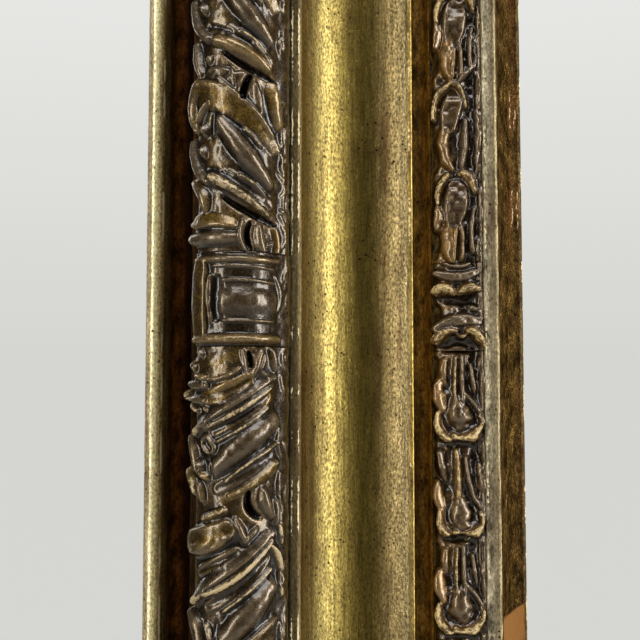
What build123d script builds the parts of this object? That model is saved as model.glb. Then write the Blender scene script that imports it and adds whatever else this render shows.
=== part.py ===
from build123d import *
import math
import os

# Ornate gilded picture frame, upright and empty, ready to hang.
# Millimetres. The origin is at the centre of the back face, +X is the viewer's right, +Z is up and the front
# faces -Y.
# A rail is drawn in its own frame: X runs from the outer edge towards the sight opening, Y is minus the height
# above the wall and Z runs along the rail from its middle.

# Driving dimensions of the picture that the frame takes
picture_width = 380.0
picture_height = 460.0
picture_play = 1.0

# Back frame of plain boards
back_depth = 14.0
back_inset = 2.0
ledge_width = 8.0
lap_peg_radius = 3.0
lap_peg_shares = (0.28, 0.74)

# Widths of the front moulding, from the outer edge to the sight edge
edge_width = 5.4
groove_width = 7.0
fillet_width = 2.4
cove_width = 26.4
lip_width = 1.6
amber_groove_width = 5.0
husk_bed_width = 12.9
sight_fillet_width = 3.5
sight_cove_width = 6.8
sight_edge_width = 1.0

# Heights of the front moulding above its back plane
bead_top = 17.0
bead_radius = 2.2
bead_shoulder = 0.5
shoulder_drop = 2.6
groove_floor = 6.0
groove_round = 1.5
groove_slope = 0.6
torus_bed_height = 20.0
torus_axis_rise = 6.0
fillet_rise = 5.5
cove_step = 0.5
cove_floor = 13.6
cove_low_share = 0.614
lip_start_height = 17.0
lip_rise = 0.3
amber_groove_floor = 6.5
amber_groove_round = 1.4
amber_groove_slope = 0.6
husk_bed_height = 10.0
sight_fillet_rise = 5.0
sight_cove_step = 0.8
sight_cove_end_height = 7.2
sight_cove_sag = 1.5
sight_edge_drop = 0.4

# Carved torus: an acanthus leaf run between the middle strap and each corner leaf
torus_radius = 12.0
leaf_relief = 1.6
strap_half_length = 10.8
corner_leaf_reach = 72.0
leaf_pitch_wanted = 33.5
eye_radius = 1.7
eye_depth = 3.5
bud_radius = 2.2
bud_sink = 1.2
strap_rim_radius = 1.7
strap_rim_relief = 1.0
strap_recess = 1.2
strap_panel_share = (0.27, 0.80)
strap_panel_length_share = 0.44
strap_side_rim_share = 0.13
strap_side_length_share = 0.68

# Leaflets of one unit of the run: root across and along, tip across and along, breadth, lift.
# Places across are shares of the torus bed, places along and breadths are shares of the pitch.
# A tip past the edge of the bed is cut off by the round of the torus.
leaflet_shares = (
    (0.70, -0.02, -0.12, 0.24, 0.19, 0.50),
    (1.00, 0.16, -0.12, 0.54, 0.13, 0.80),
    (1.04, 0.42, -0.16, 0.94, 0.28, 1.00),
    (1.02, 0.75, 0.10, 1.04, 0.10, 0.80),
)
leaflet_shoulder_shares = (0.25, 0.72)
knob_shares = ((0.80, 0.12), (0.06, 0.32))
eye_shares = (0.63, 0.13)

# Leaflets of half a corner leaf, in shares of the torus bed across and of the leg beyond the bed along
corner_leaflet_shares = (
    (0.92, 0.04, 0.06, 0.10, 0.20, 0.80),
    (0.92, 0.20, 0.04, 0.42, 0.22, 1.00),
    (0.86, 0.46, 0.04, 0.74, 0.20, 0.80),
    (0.96, 0.40, 0.70, 0.90, 0.22, 0.60),
    (0.45, 0.45, 0.50, 0.97, 0.34, 1.00),
)
corner_vein_breadth_share = 0.30
corner_vein_end_share = 0.06

# Husk chain along the sight edge
husk_side_gap = 0.25
husk_height = 8.0
husk_strip_height = 1.6
husk_strip_margin = 0.3
husk_pitch_wanted = 24.0
husk_knot_half_length = 11.0
husk_corner_reach = 20.0
husk_side_leaf_height = 4.2
husk_profile_shares = (
    (0.00, 0.45), (0.07, 0.45), (0.14, 0.60), (0.52, 0.66), (0.60, 0.80),
    (0.78, 0.86), (0.83, 1.00), (0.96, 1.00), (1.00, 0.72),
)
knot_profile_shares = (
    (0.00, 0.50), (0.10, 0.52), (0.20, 0.80), (0.38, 0.76), (0.46, 0.62),
    (0.58, 0.88), (0.94, 1.00), (1.00, 0.70),
)
side_leaf_shares = (0.62, 0.16, 0.97, 0.58, 0.20)
sight_leaf_core_share = 0.72
sight_leaflet_shares = (
    (0.50, 0.10, 0.50, 0.95, 0.50), (0.85, 0.10, 0.96, 0.60, 0.30), (0.15, 0.25, 0.04, 0.70, 0.30),
)
sight_boss_share = 0.62

# Mitre keys and nails
key_leg = 30.0
key_thickness = 1.6
key_height_share = 0.37
nail_radius = 1.1
nail_head_radius = 2.2
nail_head_thickness = 0.8
nail_bite = 25.0
nail_key_gap = 7.0
nail_height_share = 0.6
glue_fit = 0.05

# Turn buttons that hold a picture in
button_arm = 22.0
button_width = 9.0
button_thickness = 1.2
button_lift = 0.15
button_head_gap = 0.15
button_fit = 0.08
button_setback = 12.0
button_height_share = 0.25
screw_radius = 1.5
screw_head_radius = 3.2
screw_head_height = 1.7
screw_slot_width = 0.8
screw_slot_depth = 0.7
screw_length = 12.0

# Ring hangers
hanger_setback = 36.0
hanger_height_share = 0.166
hanger_plate_width = 12.0
hanger_plate_thickness = 1.2
hanger_plate_end = 7.0
hanger_screw_gap = 1.5
hanger_screw_spacing = 13.0
hanger_hole_play = 0.2
barrel_length = 9.6
barrel_lift = 0.1
ring_wire_radius = 1.25
ring_fit = 0.1
ring_plate_gap = 0.15
ring_end_play = 0.7
ring_side_length = 6.0
ring_corner_radius = 2.5

overrun = 5.0

# Places that follow from the sizes above
torus_bed_width = 2 * torus_radius
groove_start = edge_width
torus_bed_start = groove_start + groove_width
torus_centre = torus_bed_start + torus_bed_width / 2
fillet_start = torus_bed_start + torus_bed_width
cove_start = fillet_start + fillet_width
lip_start = cove_start + cove_width
amber_groove_start = lip_start + lip_width
husk_bed_start = amber_groove_start + amber_groove_width
husk_centre = husk_bed_start + husk_bed_width / 2
sight_fillet_start = husk_bed_start + husk_bed_width
sight_cove_start = sight_fillet_start + sight_fillet_width
sight_edge_start = sight_cove_start + sight_cove_width
rail_width = sight_edge_start + sight_edge_width
board_end = rail_width - ledge_width

outer_width = picture_width + 2 * picture_play + 2 * board_end
outer_height = picture_height + 2 * picture_play + 2 * board_end
fillet_height = torus_bed_height + fillet_rise
lip_height = lip_start_height + lip_rise
sight_fillet_height = husk_bed_height + sight_fillet_rise
sight_edge_height = sight_cove_end_height - sight_edge_drop
torus_axis_height = torus_bed_height + torus_axis_rise
torus_base_radius = torus_radius - leaf_relief
husk_half_width = husk_bed_width / 2 - husk_side_gap
full_depth = back_depth + torus_axis_height + torus_radius + strap_rim_radius + strap_rim_relief

key_height = key_height_share * groove_floor
nail_inset = key_leg + nail_key_gap
nail_length = nail_inset + nail_bite
nail_height = nail_height_share * groove_floor
ring_half_width = barrel_length / 2 + ring_end_play + ring_corner_radius
ring_axis = hanger_plate_thickness + ring_plate_gap + ring_wire_radius
barrel_radius = ring_axis - barrel_lift
ring_drop = ring_side_length + ring_half_width + ring_wire_radius
hanger_screw_first = ring_drop + hanger_screw_gap + screw_head_radius
hanger_plate_length = hanger_screw_first + hanger_screw_spacing + hanger_plate_end

SIDES = {"left": 0, "top": 90, "right": 180, "bottom": -90}


def side_length(side):
    """Outer length of the rail on one side."""
    return outer_height if side in ("left", "right") else outer_width


def side_reach(side):
    """Distance from the middle of the frame to the outer edge of one side."""
    return (outer_width if side in ("left", "right") else outer_height) / 2


def on_side(shape, side):
    """Moves a shape from the rail's own frame to its side of the picture frame."""
    return Rot(0, SIDES[side], 0) * Pos(-side_reach(side), 0, 0) * shape


def front(height):
    """Y of a height above the back plane of the front moulding."""
    return -back_depth - height


def plan(points_or_face):
    """Puts a flat shape drawn across and along the rail onto the plane that is parallel to the wall."""
    return Plane.XZ * points_or_face


def prism(face, low, high):
    """Solid over a plan face, between two heights above the wall."""
    return extrude(Pos(0, -low, 0) * plan(face), amount=high - low, dir=(0, -1, 0))


# Front moulding
def moulding_face():
    """Section of the front moulding, outer side first."""
    bead_centre = bead_shoulder + bead_radius
    bead_side = bead_top - bead_radius
    outline = []

    def point(across, height):
        return (across, front(height))

    def straight(*points):
        outline.extend(Line(a, b) for a, b in zip(points, points[1:]))

    straight(point(0, 0), point(0, bead_side - shoulder_drop), point(bead_shoulder, bead_side))
    outline.append(ThreePointArc(point(bead_shoulder, bead_side), point(bead_centre, bead_top),
                                 point(bead_centre + bead_radius, bead_side)))
    hollow_in = point(groove_start + groove_slope, groove_floor + groove_round)
    hollow_out = point(torus_bed_start - groove_slope, groove_floor + groove_round)
    straight(point(bead_centre + bead_radius, bead_side), hollow_in)
    hollow_low = point(groove_start + groove_width / 2, groove_floor)
    outline.append(ThreePointArc(hollow_in, hollow_low, hollow_out))
    cove_top = point(cove_start, fillet_height - cove_step)
    cove_end = point(lip_start, lip_start_height)
    straight(hollow_out, point(torus_bed_start, torus_bed_height), point(fillet_start, torus_bed_height),
             point(fillet_start, fillet_height), point(cove_start, fillet_height), cove_top)
    cove_low = point(cove_start + cove_low_share * cove_width, cove_floor)
    outline.append(ThreePointArc(cove_top, cove_low, cove_end))
    amber_in = point(amber_groove_start + amber_groove_slope, amber_groove_floor + amber_groove_round)
    amber_out = point(husk_bed_start - amber_groove_slope, amber_groove_floor + amber_groove_round)
    straight(cove_end, point(amber_groove_start, lip_height), amber_in)
    amber_low = point(amber_groove_start + amber_groove_width / 2, amber_groove_floor)
    outline.append(ThreePointArc(amber_in, amber_low, amber_out))
    sight_top = point(sight_cove_start, sight_fillet_height - sight_cove_step)
    sight_end = point(sight_edge_start, sight_cove_end_height)
    sight_middle = point(sight_cove_start + sight_cove_width / 2,
                         (sight_fillet_height - sight_cove_step + sight_cove_end_height) / 2 - sight_cove_sag)
    straight(amber_out, point(husk_bed_start, husk_bed_height), point(sight_fillet_start, husk_bed_height),
             point(sight_fillet_start, sight_fillet_height), point(sight_cove_start, sight_fillet_height),
             sight_top)
    outline.append(ThreePointArc(sight_top, sight_middle, sight_end))
    straight(sight_end, point(rail_width, sight_edge_height), point(rail_width, 0), point(0, 0))
    return Face(Wire(outline))


def mitre_plan(length):
    """Outline of a rail seen from the front, with both mitres, longer than the rail by an overrun."""
    half = length / 2
    inner = rail_width + overrun
    return make_face(Polyline((-overrun, -half - overrun), (-overrun, half + overrun), (inner, half - inner),
                              (inner, inner - half), (-overrun, -half - overrun)))


def rail(side):
    """One mitred length of the front moulding."""
    length = side_length(side)
    blank = Pos(0, 0, -length / 2) * extrude(moulding_face(), amount=length, dir=(0, 0, 1))
    return on_side(blank & prism(mitre_plan(length), 0, full_depth), side)


# Back frame, half lapped at the corners
def board(side):
    """One board of the back frame. Uprights keep the rear half of each lap, the others the front half."""
    length = side_length(side) - 2 * back_inset
    width = board_end - back_inset
    lap = board_end - back_inset
    solid = Pos(back_inset + width / 2, -back_depth / 2, 0) * Box(width, back_depth, length)
    cut_at = -back_depth * 3 / 4 if side in ("left", "right") else -back_depth / 4
    notch = Box(width + 2 * overrun, back_depth / 2, lap)
    for end in (-1, 1):
        solid -= Pos(back_inset + width / 2, cut_at, end * (length - lap) / 2) * notch
    return on_side(solid, side)


def corners():
    """Name, sign of X and sign of Z of each corner."""
    return (("top_left", -1, 1), ("top_right", 1, 1), ("bottom_right", 1, -1), ("bottom_left", -1, -1))


def at_corner(shape, sign_x, sign_z):
    """Moves a shape drawn at the top left, with the outer corner at the origin, to one of the four corners."""
    placed = Pos(-outer_width / 2, 0, outer_height / 2) * shape
    if sign_x > 0:
        placed = mirror(placed, about=Plane.YZ)
    if sign_z < 0:
        placed = mirror(placed, about=Plane.XY)
    return placed


def lap_pegs(radius):
    """Two pegs through the lap of the top left corner."""
    near, far = (back_inset + share * (board_end - back_inset) for share in lap_peg_shares)
    peg = Pos(0, -back_depth / 2, 0) * Rot(90, 0, 0) * Cylinder(radius, back_depth)
    return [Pos(near, 0, -far) * peg, Pos(far, 0, -near) * peg]


def mitre_key():
    """Thin triangular key across the mitre of the top left corner."""
    face = make_face(Polyline((0, 0), (key_leg, 0), (0, -key_leg), (0, 0)))
    low = back_depth + key_height
    return prism(face, low, low + key_thickness)


def mitre_nail(fit):
    """Nail driven from the top edge of the top left corner, across the mitre, larger all round by a fit."""
    shank = Cylinder(nail_radius + fit, nail_length, align=(Align.CENTER, Align.CENTER, Align.MAX))
    head = Cylinder(nail_head_radius + fit, nail_head_thickness, align=(Align.CENTER, Align.CENTER, Align.MAX))
    return Pos(nail_inset, front(nail_height), 0) * (shank + head)


# Carved torus
def torus_bar(radius, length):
    """Round bar with a flat bottom that sits on the torus bed, centred on the rail's middle."""
    size = 2 * (radius + torus_bed_width)
    above = Pos(0, -size / 2, 0) * Box(size, size, length + 2 * overrun)
    bar = Pos(0, -torus_axis_rise, 0) * Cylinder(radius, length)
    return Pos(torus_centre, front(torus_bed_height), 0) * (bar & above)


def leaflet(root, tip, breadth):
    """Plan outline of one leaflet: a long six-sided leaf, pointed at both ends."""
    start = Vector(*root)
    along = Vector(*tip) - start
    side = along.normalized().rotate(Axis.Z, 90) * breadth / 2
    left = [start + along * share + side for share in leaflet_shoulder_shares]
    right = [start + along * share - side for share in reversed(leaflet_shoulder_shares)]
    return make_face(Polyline(start, *left, start + along, *right, start))


def across_torus(share):
    """Distance from the outer edge of a place across the torus bed."""
    return torus_bed_start + share * torus_bed_width


def on_torus(shape, share, along, radius):
    """Turns and moves a shape to stand out of the torus, at a place across it and along the rail."""
    lean = math.degrees(math.asin((share - 1 / 2) * torus_bed_width / torus_radius))
    return Pos(torus_centre, front(torus_axis_height), along) * Rot(0, 0, lean) * Pos(0, -radius, 0) * shape


def raised(bar_of_radius, faces_by_lift):
    """Parts of larger bars under the given plan faces, one bar for each lift."""
    pieces = []
    for lift, faces in faces_by_lift.items():
        bar = bar_of_radius(torus_base_radius + lift * leaf_relief)
        stamp = Compound([prism(face, back_depth, full_depth) for face in faces])
        pieces += [solid for face in stamp.solids() for solid in (bar & face).solids()]
    return pieces


def leaf_run(length, count):
    """Acanthus run from the strap end at zero to the corner leaf, with a number of equal units."""
    pitch = length / count
    faces_by_lift = {}
    extras = []
    eyes = []
    for unit in range(count):
        start = unit * pitch
        for root_u, root_s, tip_u, tip_s, breadth, lift in leaflet_shares:
            root = (across_torus(root_u), start + root_s * pitch)
            tip = (across_torus(tip_u), start + tip_s * pitch)
            faces_by_lift.setdefault(lift, []).append(leaflet(root, tip, breadth * pitch))
        knob_at = torus_radius - bud_sink - bud_radius / 2
        extras += [on_torus(Sphere(bud_radius), u, start + s * pitch, knob_at) for u, s in knob_shares]
        eyes.append(on_torus(Rot(90, 0, 0) * Cylinder(eye_radius, 2 * eye_depth), eye_shares[0],
                             start + eye_shares[1] * pitch, torus_radius))

    def bar_of_radius(radius):
        return Pos(0, 0, length / 2) * torus_bar(radius, length)

    run = bar_of_radius(torus_base_radius)
    run = run.fuse(*raised(bar_of_radius, faces_by_lift), *extras)
    run = run.cut(*eyes)
    return run & bar_of_radius(torus_radius + bud_radius)


def center_strap():
    """Banded strap over the middle of the torus: two round rims, a raised panel and a side rim."""
    length = 2 * strap_half_length
    strap = torus_bar(torus_radius - strap_recess, length)
    panel = torus_bar(torus_radius, strap_panel_length_share * length)
    start, end = (across_torus(share) for share in strap_panel_share)
    panel = panel & Pos((start + end) / 2, 0, 0) * Box(end - start, 2 * full_depth, length)
    side = torus_bar(torus_radius, strap_side_length_share * length)
    side_end = across_torus(strap_side_rim_share)
    side = side & Pos(side_end - torus_bed_width / 2, 0, 0) * Box(torus_bed_width, 2 * full_depth, length)
    rim_radius = torus_radius + strap_rim_relief - strap_rim_radius
    rim = Torus(rim_radius, strap_rim_radius)
    size = 2 * (torus_radius + torus_bed_width)
    above = Pos(0, -size / 2, 0) * Box(size, size, size)
    rim = Pos(0, -torus_axis_rise, 0) * rim & above
    rim = Pos(torus_centre, front(torus_bed_height), 0) * rim
    rim_at = strap_half_length - strap_rim_radius
    strap = strap.fuse(panel, side, Pos(0, 0, rim_at) * rim, Pos(0, 0, -rim_at) * rim)
    return strap & Pos(fillet_start - size / 2, 0, 0) * Box(size, 2 * full_depth, size)


def half_corner(face_or_bar):
    """Keeps the part of an upright piece below the mitre of the top left corner."""
    size = corner_leaf_reach + rail_width
    below = make_face(Polyline((0, 0), (size, -size), (0, -size), (0, 0)))
    return face_or_bar & prism(below, 0, full_depth)


def both_legs(leg):
    """An upright leg of the top left corner, joined to its mirror image in the mitre."""
    mitre = Plane(origin=(0, 0, 0), z_dir=(1, 0, 1))
    return leg.fuse(mirror(leg, about=mitre))


def corner_leaf():
    """Leaf over the mitre of the torus, at the top left, with the outer corner at the origin."""
    reach = corner_leaf_reach

    def bar_of_radius(radius):
        return both_legs(half_corner(Pos(0, 0, -reach / 2) * torus_bar(radius, reach)))

    def half_bar_of_radius(radius):
        return half_corner(Pos(0, 0, -reach / 2) * torus_bar(radius, reach))

    leg_start = torus_bed_start
    leg = reach - leg_start
    faces_by_lift = {}
    for root_u, root_s, tip_u, tip_s, breadth, lift in corner_leaflet_shares:
        root = (across_torus(root_u), -leg_start - root_s * leg - root_u * torus_bed_width * (1 - root_s))
        tip = (across_torus(tip_u), -leg_start - tip_s * leg - tip_u * torus_bed_width * (1 - tip_s))
        faces_by_lift.setdefault(lift, []).append(leaflet(root, tip, breadth * torus_bed_width))
    lobes = raised(half_bar_of_radius, faces_by_lift)
    mirrored = [mirror(lobe, about=Plane(origin=(0, 0, 0), z_dir=(1, 0, 1))) for lobe in lobes]
    vein_from = across_torus(corner_vein_end_share)
    vein_to = across_torus(1 - corner_vein_end_share)
    vein = leaflet((vein_from, -vein_from), (vein_to, -vein_to), corner_vein_breadth_share * torus_bed_width)
    vein = raised(bar_of_radius, {1.0: [vein]})
    return bar_of_radius(torus_base_radius).fuse(*lobes, *mirrored, *vein)


# Husk chain
def turned_half(shares, start, length):
    """Half-round turning that lies on the husk bed, from a profile in shares of its length and half width."""
    points = [(0, start)]
    points += [(r * husk_half_width, start + s * length) for s, r in shares]
    points.append((0, start + length))
    face = Plane.XZ * make_face(Polyline(*points, points[0]))
    half = Rot(0, 0, 180) * revolve(face, Axis.Z, 180)
    return Pos(husk_centre, front(husk_bed_height), 0) * scale(half, by=(1, husk_height / husk_half_width, 1))


def husk_strip(start, length):
    """Thin ground strip under the husks."""
    width = husk_bed_width - 2 * husk_strip_margin
    strip = Box(width, husk_strip_height, length, align=(Align.CENTER, Align.MAX, Align.MIN))
    return Pos(husk_centre, front(husk_bed_height), start) * strip


def across_husk(share):
    """Distance from the outer edge of a place across the husk bed."""
    return husk_bed_start + husk_strip_margin + share * (husk_bed_width - 2 * husk_strip_margin)


def husk_run(length, count):
    """Chain of husks from the knot end at zero to the corner, each opening away from the middle."""
    pitch = length / count
    bed = back_depth + husk_bed_height
    root_u, root_s, tip_u, tip_s, breadth = side_leaf_shares
    pieces = []
    for unit in range(count):
        start = unit * pitch
        pieces.append(turned_half(husk_profile_shares, start, pitch))
        for flip in (False, True):
            root = (across_husk(1 - root_u if flip else root_u), start + root_s * pitch)
            tip = (across_husk(1 - tip_u if flip else tip_u), start + tip_s * pitch)
            pieces.append(prism(leaflet(root, tip, breadth * pitch / 2), bed, bed + husk_side_leaf_height))
    return husk_strip(0, length).fuse(*pieces)


def husk_knot():
    """Knot at the middle of a rail, where the two husk chains start."""
    half = turned_half(knot_profile_shares, 0, husk_knot_half_length)
    other = mirror(half, about=Plane.XY)
    return husk_strip(-husk_knot_half_length, 2 * husk_knot_half_length).fuse(half, other)


def sight_corner_leaf():
    """Small leaf over the mitre of the husk bed, at the top left, with the frame's outer corner at the origin."""
    reach = husk_centre + husk_corner_reach
    bed = back_depth + husk_bed_height
    width = husk_bed_width - 2 * husk_strip_margin
    strip = Box(width, husk_strip_height, reach, align=(Align.CENTER, Align.MAX, Align.MAX))
    core = Cylinder(sight_leaf_core_share * husk_half_width, reach, align=(Align.CENTER, Align.CENTER, Align.MAX))
    above = Box(2 * width, 2 * width, 2 * reach, align=(Align.CENTER, Align.MAX, Align.CENTER))
    leg = Pos(husk_centre, -bed, 0) * (strip + (core & above))
    boss = Pos(husk_centre, -bed, -husk_centre) * Sphere(husk_height * sight_boss_share)
    boss = boss & Pos(husk_centre, -bed, -husk_centre) * above
    lobes = []
    for root_u, root_s, tip_u, tip_s, breadth in sight_leaflet_shares:
        root = (across_husk(root_u), -across_husk(root_u) - root_s * husk_corner_reach)
        tip = (across_husk(tip_u), -husk_centre - tip_s * husk_corner_reach)
        top = bed + husk_height * sight_leaf_core_share
        lobes.append(prism(leaflet(root, tip, breadth * husk_bed_width), bed, top))
    within_bed = Pos(husk_centre, 0, 0) * Box(husk_bed_width, 2 * full_depth, 2 * reach)
    return both_legs(half_corner(leg.fuse(*lobes) & within_bed)).fuse(boss)


# Hardware
def wood_screw(length):
    """Round-headed slotted screw along +Y, with the underside of its head at zero."""
    rise = screw_head_height
    cap_radius = (screw_head_radius ** 2 + rise ** 2) / (2 * rise)
    half_way = screw_head_radius / 2
    cap_middle = (half_way, rise - cap_radius + math.sqrt(cap_radius ** 2 - half_way ** 2))
    profile = make_face([
        Line((0, -length), (screw_radius, -length)),
        Line((screw_radius, -length), (screw_radius, 0)),
        Line((screw_radius, 0), (screw_head_radius, 0)),
        ThreePointArc((screw_head_radius, 0), cap_middle, (0, rise)),
        Line((0, rise), (0, -length)),
    ])
    slot = Pos(0, rise, 0) * Box(2 * screw_head_radius, 2 * screw_slot_depth, screw_slot_width)
    return revolve(profile, Axis.Y, 360) - slot


def turn_button():
    """Flat brass button along -Z, with its screw hole on the Y axis and its back at zero."""
    plate = SlotCenterToCenter(button_arm, button_width, rotation=90)
    hole = Circle(screw_radius + button_fit)
    return extrude(plan(Pos(0, -button_arm / 2) * plate - hole), amount=button_thickness, dir=(0, 1, 0))


def button_places():
    """Name, turn about Y, X and Z of each turn button."""
    side_x = picture_width / 2 + picture_play + button_setback
    side_z = picture_height * button_height_share
    end_z = picture_height / 2 + picture_play + button_setback
    return (("left_upper", 0, -side_x, side_z), ("left_lower", 0, -side_x, -side_z),
            ("right_upper", 0, side_x, side_z), ("right_lower", 0, side_x, -side_z),
            ("top", -90, button_arm / 2, end_z), ("bottom", -90, button_arm / 2, -end_z))


def hanger_places():
    """Name and X of each ring hanger."""
    at = outer_width / 2 - hanger_setback
    return (("left", -at), ("right", at))


def hanger_height():
    """Height of the ring's axis above the middle of the frame."""
    return outer_height * hanger_height_share


def hanger_screw_drops():
    """Distance of each hanger screw below the ring's axis."""
    return (hanger_screw_first, hanger_screw_first + hanger_screw_spacing)


def hanger_plate():
    """Strap of sheet brass rolled into a barrel at its top end, with the barrel's axis along X."""
    strap = Box(hanger_plate_width, hanger_plate_thickness, hanger_plate_length,
                align=(Align.CENTER, Align.MIN, Align.MAX))
    neck = Box(barrel_length, hanger_plate_thickness, 2 * barrel_radius,
               align=(Align.CENTER, Align.MIN, Align.MAX))
    corner_cut = Box(hanger_plate_width, hanger_plate_thickness, 2 * barrel_radius,
                     align=(Align.CENTER, Align.MIN, Align.MAX))
    barrel = Pos(0, ring_axis, 0) * Rot(0, 90, 0) * Cylinder(barrel_radius, barrel_length)
    bore = Pos(0, ring_axis, 0) * Rot(0, 90, 0) * Cylinder(ring_wire_radius + ring_fit, 2 * barrel_length)
    plate = (strap - corner_cut) + neck + barrel - bore
    hole = Rot(90, 0, 0) * Cylinder(screw_radius + hanger_hole_play, 2 * overrun)
    for drop in hanger_screw_drops():
        plate -= Pos(0, 0, -drop) * hole
    return plate


def hanger_ring():
    """Wire ring hanging from its straight bar, which lies on the X axis of the barrel."""
    half = ring_half_width
    round_off = ring_corner_radius
    curl = round_off * (1 - math.sqrt(1 / 2))
    low = -ring_side_length
    path = Wire([
        Line((round_off - half, 0, 0), (half - round_off, 0, 0)),
        ThreePointArc((half - round_off, 0, 0), (half - curl, 0, -curl), (half, 0, -round_off)),
        Line((half, 0, -round_off), (half, 0, low)),
        ThreePointArc((half, 0, low), (0, 0, low - half), (-half, 0, low)),
        Line((-half, 0, low), (-half, 0, -round_off)),
        ThreePointArc((-half, 0, -round_off), (curl - half, 0, -curl), (round_off - half, 0, 0)),
    ])
    section = Plane(origin=(0, 0, 0), z_dir=(1, 0, 0)) * Circle(ring_wire_radius)
    return Pos(0, ring_axis, 0) * sweep(section, path=path)


def model():
    """All nodes of the frame by name."""
    nodes = {}
    keys = {name: at_corner(mitre_key(), x, z) for name, x, z in corners()}
    nails = [at_corner(mitre_nail(0), x, z) for _, x, z in corners()]
    nail_holes = [at_corner(mitre_nail(glue_fit), x, z) for _, x, z in corners()]
    pegs = [at_corner(peg, x, z) for _, x, z in corners() for peg in lap_pegs(lap_peg_radius)]
    peg_holes = [at_corner(peg, x, z) for _, x, z in corners() for peg in lap_pegs(lap_peg_radius + glue_fit)]

    button_y = button_lift + button_thickness + button_head_gap
    button_screws = [Pos(x, button_y, z) * wood_screw(screw_length) for _, _, x, z in button_places()]
    hanger_screws = [Pos(x, hanger_plate_thickness, hanger_height() - drop) * wood_screw(screw_length)
                     for _, x in hanger_places() for drop in hanger_screw_drops()]
    pilot = Rot(90, 0, 0) * Cylinder(screw_radius + glue_fit, 2 * (screw_length - hanger_plate_thickness))
    screw_holes = [Pos(x, 0, z) * pilot for _, _, x, z in button_places()]
    screw_holes += [Pos(x, 0, hanger_height() - drop) * pilot for _, x in hanger_places()
                    for drop in hanger_screw_drops()]

    for side in SIDES:
        nodes[f"rail_{side}"] = rail(side).cut(*keys.values(), *nail_holes)
        nodes[f"back_frame_{side}"] = board(side).cut(*peg_holes, *screw_holes)
        nodes[f"center_strap_{side}"] = on_side(center_strap(), side)
        nodes[f"husk_knot_{side}"] = on_side(husk_knot(), side)

    run_ends = {"left": ("upper", "lower"), "right": ("lower", "upper"), "top": ("right", "left"),
                "bottom": ("left", "right")}
    leaf_runs = {}
    husk_runs = {}
    for side in ("left", "top"):
        half = side_length(side) / 2
        leaf_length = half - strap_half_length - corner_leaf_reach
        leaf_count = max(1, round(leaf_length / leaf_pitch_wanted))
        husk_length = half - husk_centre - husk_knot_half_length - husk_corner_reach
        husk_count = max(1, round(husk_length / husk_pitch_wanted))
        print(f"{side}: {leaf_count} leaf units of {leaf_length / leaf_count:.2f} mm, "
              f"{husk_count} husks of {husk_length / husk_count:.2f} mm")
        leaf_runs[side] = Pos(0, 0, strap_half_length) * leaf_run(leaf_length, leaf_count)
        husk_runs[side] = Pos(0, 0, husk_knot_half_length) * husk_run(husk_length, husk_count)
    for side in SIDES:
        like = "left" if side in ("left", "right") else "top"
        far, near = run_ends[side]
        for name, run in ((f"leaf_run_{side}", leaf_runs[like]), (f"husk_run_{side}", husk_runs[like])):
            nodes[f"{name}_{far}"] = on_side(run, side)
            nodes[f"{name}_{near}"] = on_side(mirror(run, about=Plane.XY), side)

    leaf = corner_leaf()
    sight_leaf = sight_corner_leaf()
    for name, x, z in corners():
        nodes[f"mitre_key_{name}"] = keys[name]
        nodes[f"corner_leaf_{name}"] = at_corner(leaf, x, z)
        nodes[f"sight_corner_leaf_{name}"] = at_corner(sight_leaf, x, z)
    nodes["mitre_nails"] = Compound(nails)
    nodes["lap_pegs"] = Compound(pegs)

    for name, turn, x, z in button_places():
        nodes[f"turn_button_{name}"] = Pos(x, button_lift, z) * Rot(0, turn, 0) * turn_button()
    nodes["turn_button_screws"] = Compound(button_screws)
    for name, x in hanger_places():
        nodes[f"hanger_plate_{name}"] = Pos(x, 0, hanger_height()) * hanger_plate()
        nodes[f"hanger_ring_{name}"] = Pos(x, 0, hanger_height()) * hanger_ring()
    nodes["hanger_screws"] = Compound(hanger_screws)
    return nodes


os.makedirs("parts", exist_ok=True)
for node, shape in model().items():
    export_step(shape, f"parts/{node}.step")
print(f"outer size {outer_width:.1f} by {outer_height:.1f} mm, rail width {rail_width:.1f} mm")
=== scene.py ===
"""Looks of an ornate gilded picture frame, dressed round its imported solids.

Every length in the classes is in millimetres. Across is measured from a rail's outer edge to its sight edge,
height from the wall plane towards the viewer, and along from the middle of the rail. Layout.place turns these
into the row frame, in metres.
"""

from __future__ import annotations

import logging
import math
from collections.abc import Callable
from dataclasses import dataclass, field
from enum import Enum
from functools import partial

import bmesh
import bpy
import numpy as np
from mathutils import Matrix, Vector


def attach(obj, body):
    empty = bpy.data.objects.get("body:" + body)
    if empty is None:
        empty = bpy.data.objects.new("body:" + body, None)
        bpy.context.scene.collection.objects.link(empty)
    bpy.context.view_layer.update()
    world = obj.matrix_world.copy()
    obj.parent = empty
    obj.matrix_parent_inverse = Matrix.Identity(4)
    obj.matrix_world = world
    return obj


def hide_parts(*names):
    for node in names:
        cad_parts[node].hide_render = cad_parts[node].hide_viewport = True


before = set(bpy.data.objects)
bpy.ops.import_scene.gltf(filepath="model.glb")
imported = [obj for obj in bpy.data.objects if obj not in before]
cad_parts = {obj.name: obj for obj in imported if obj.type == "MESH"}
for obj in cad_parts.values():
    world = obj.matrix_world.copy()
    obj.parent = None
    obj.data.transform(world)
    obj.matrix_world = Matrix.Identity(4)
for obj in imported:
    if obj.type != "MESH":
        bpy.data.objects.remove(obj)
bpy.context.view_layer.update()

LOG = logging.getLogger("gilded_frame")
MM = 0.001
BODY = "frame"


class Rail(Enum):
    """The four rails, named by where they lie."""

    LEFT = "left"
    TOP = "top"
    RIGHT = "right"
    BOTTOM = "bottom"


class Form(Enum):
    """How a chisel form is shaped across its width."""

    DOME = "dome"
    FLAT = "flat"
    DISH = "dish"
    SHINGLE = "shingle"
    SLAB = "slab"
    HOLE = "hole"


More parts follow.
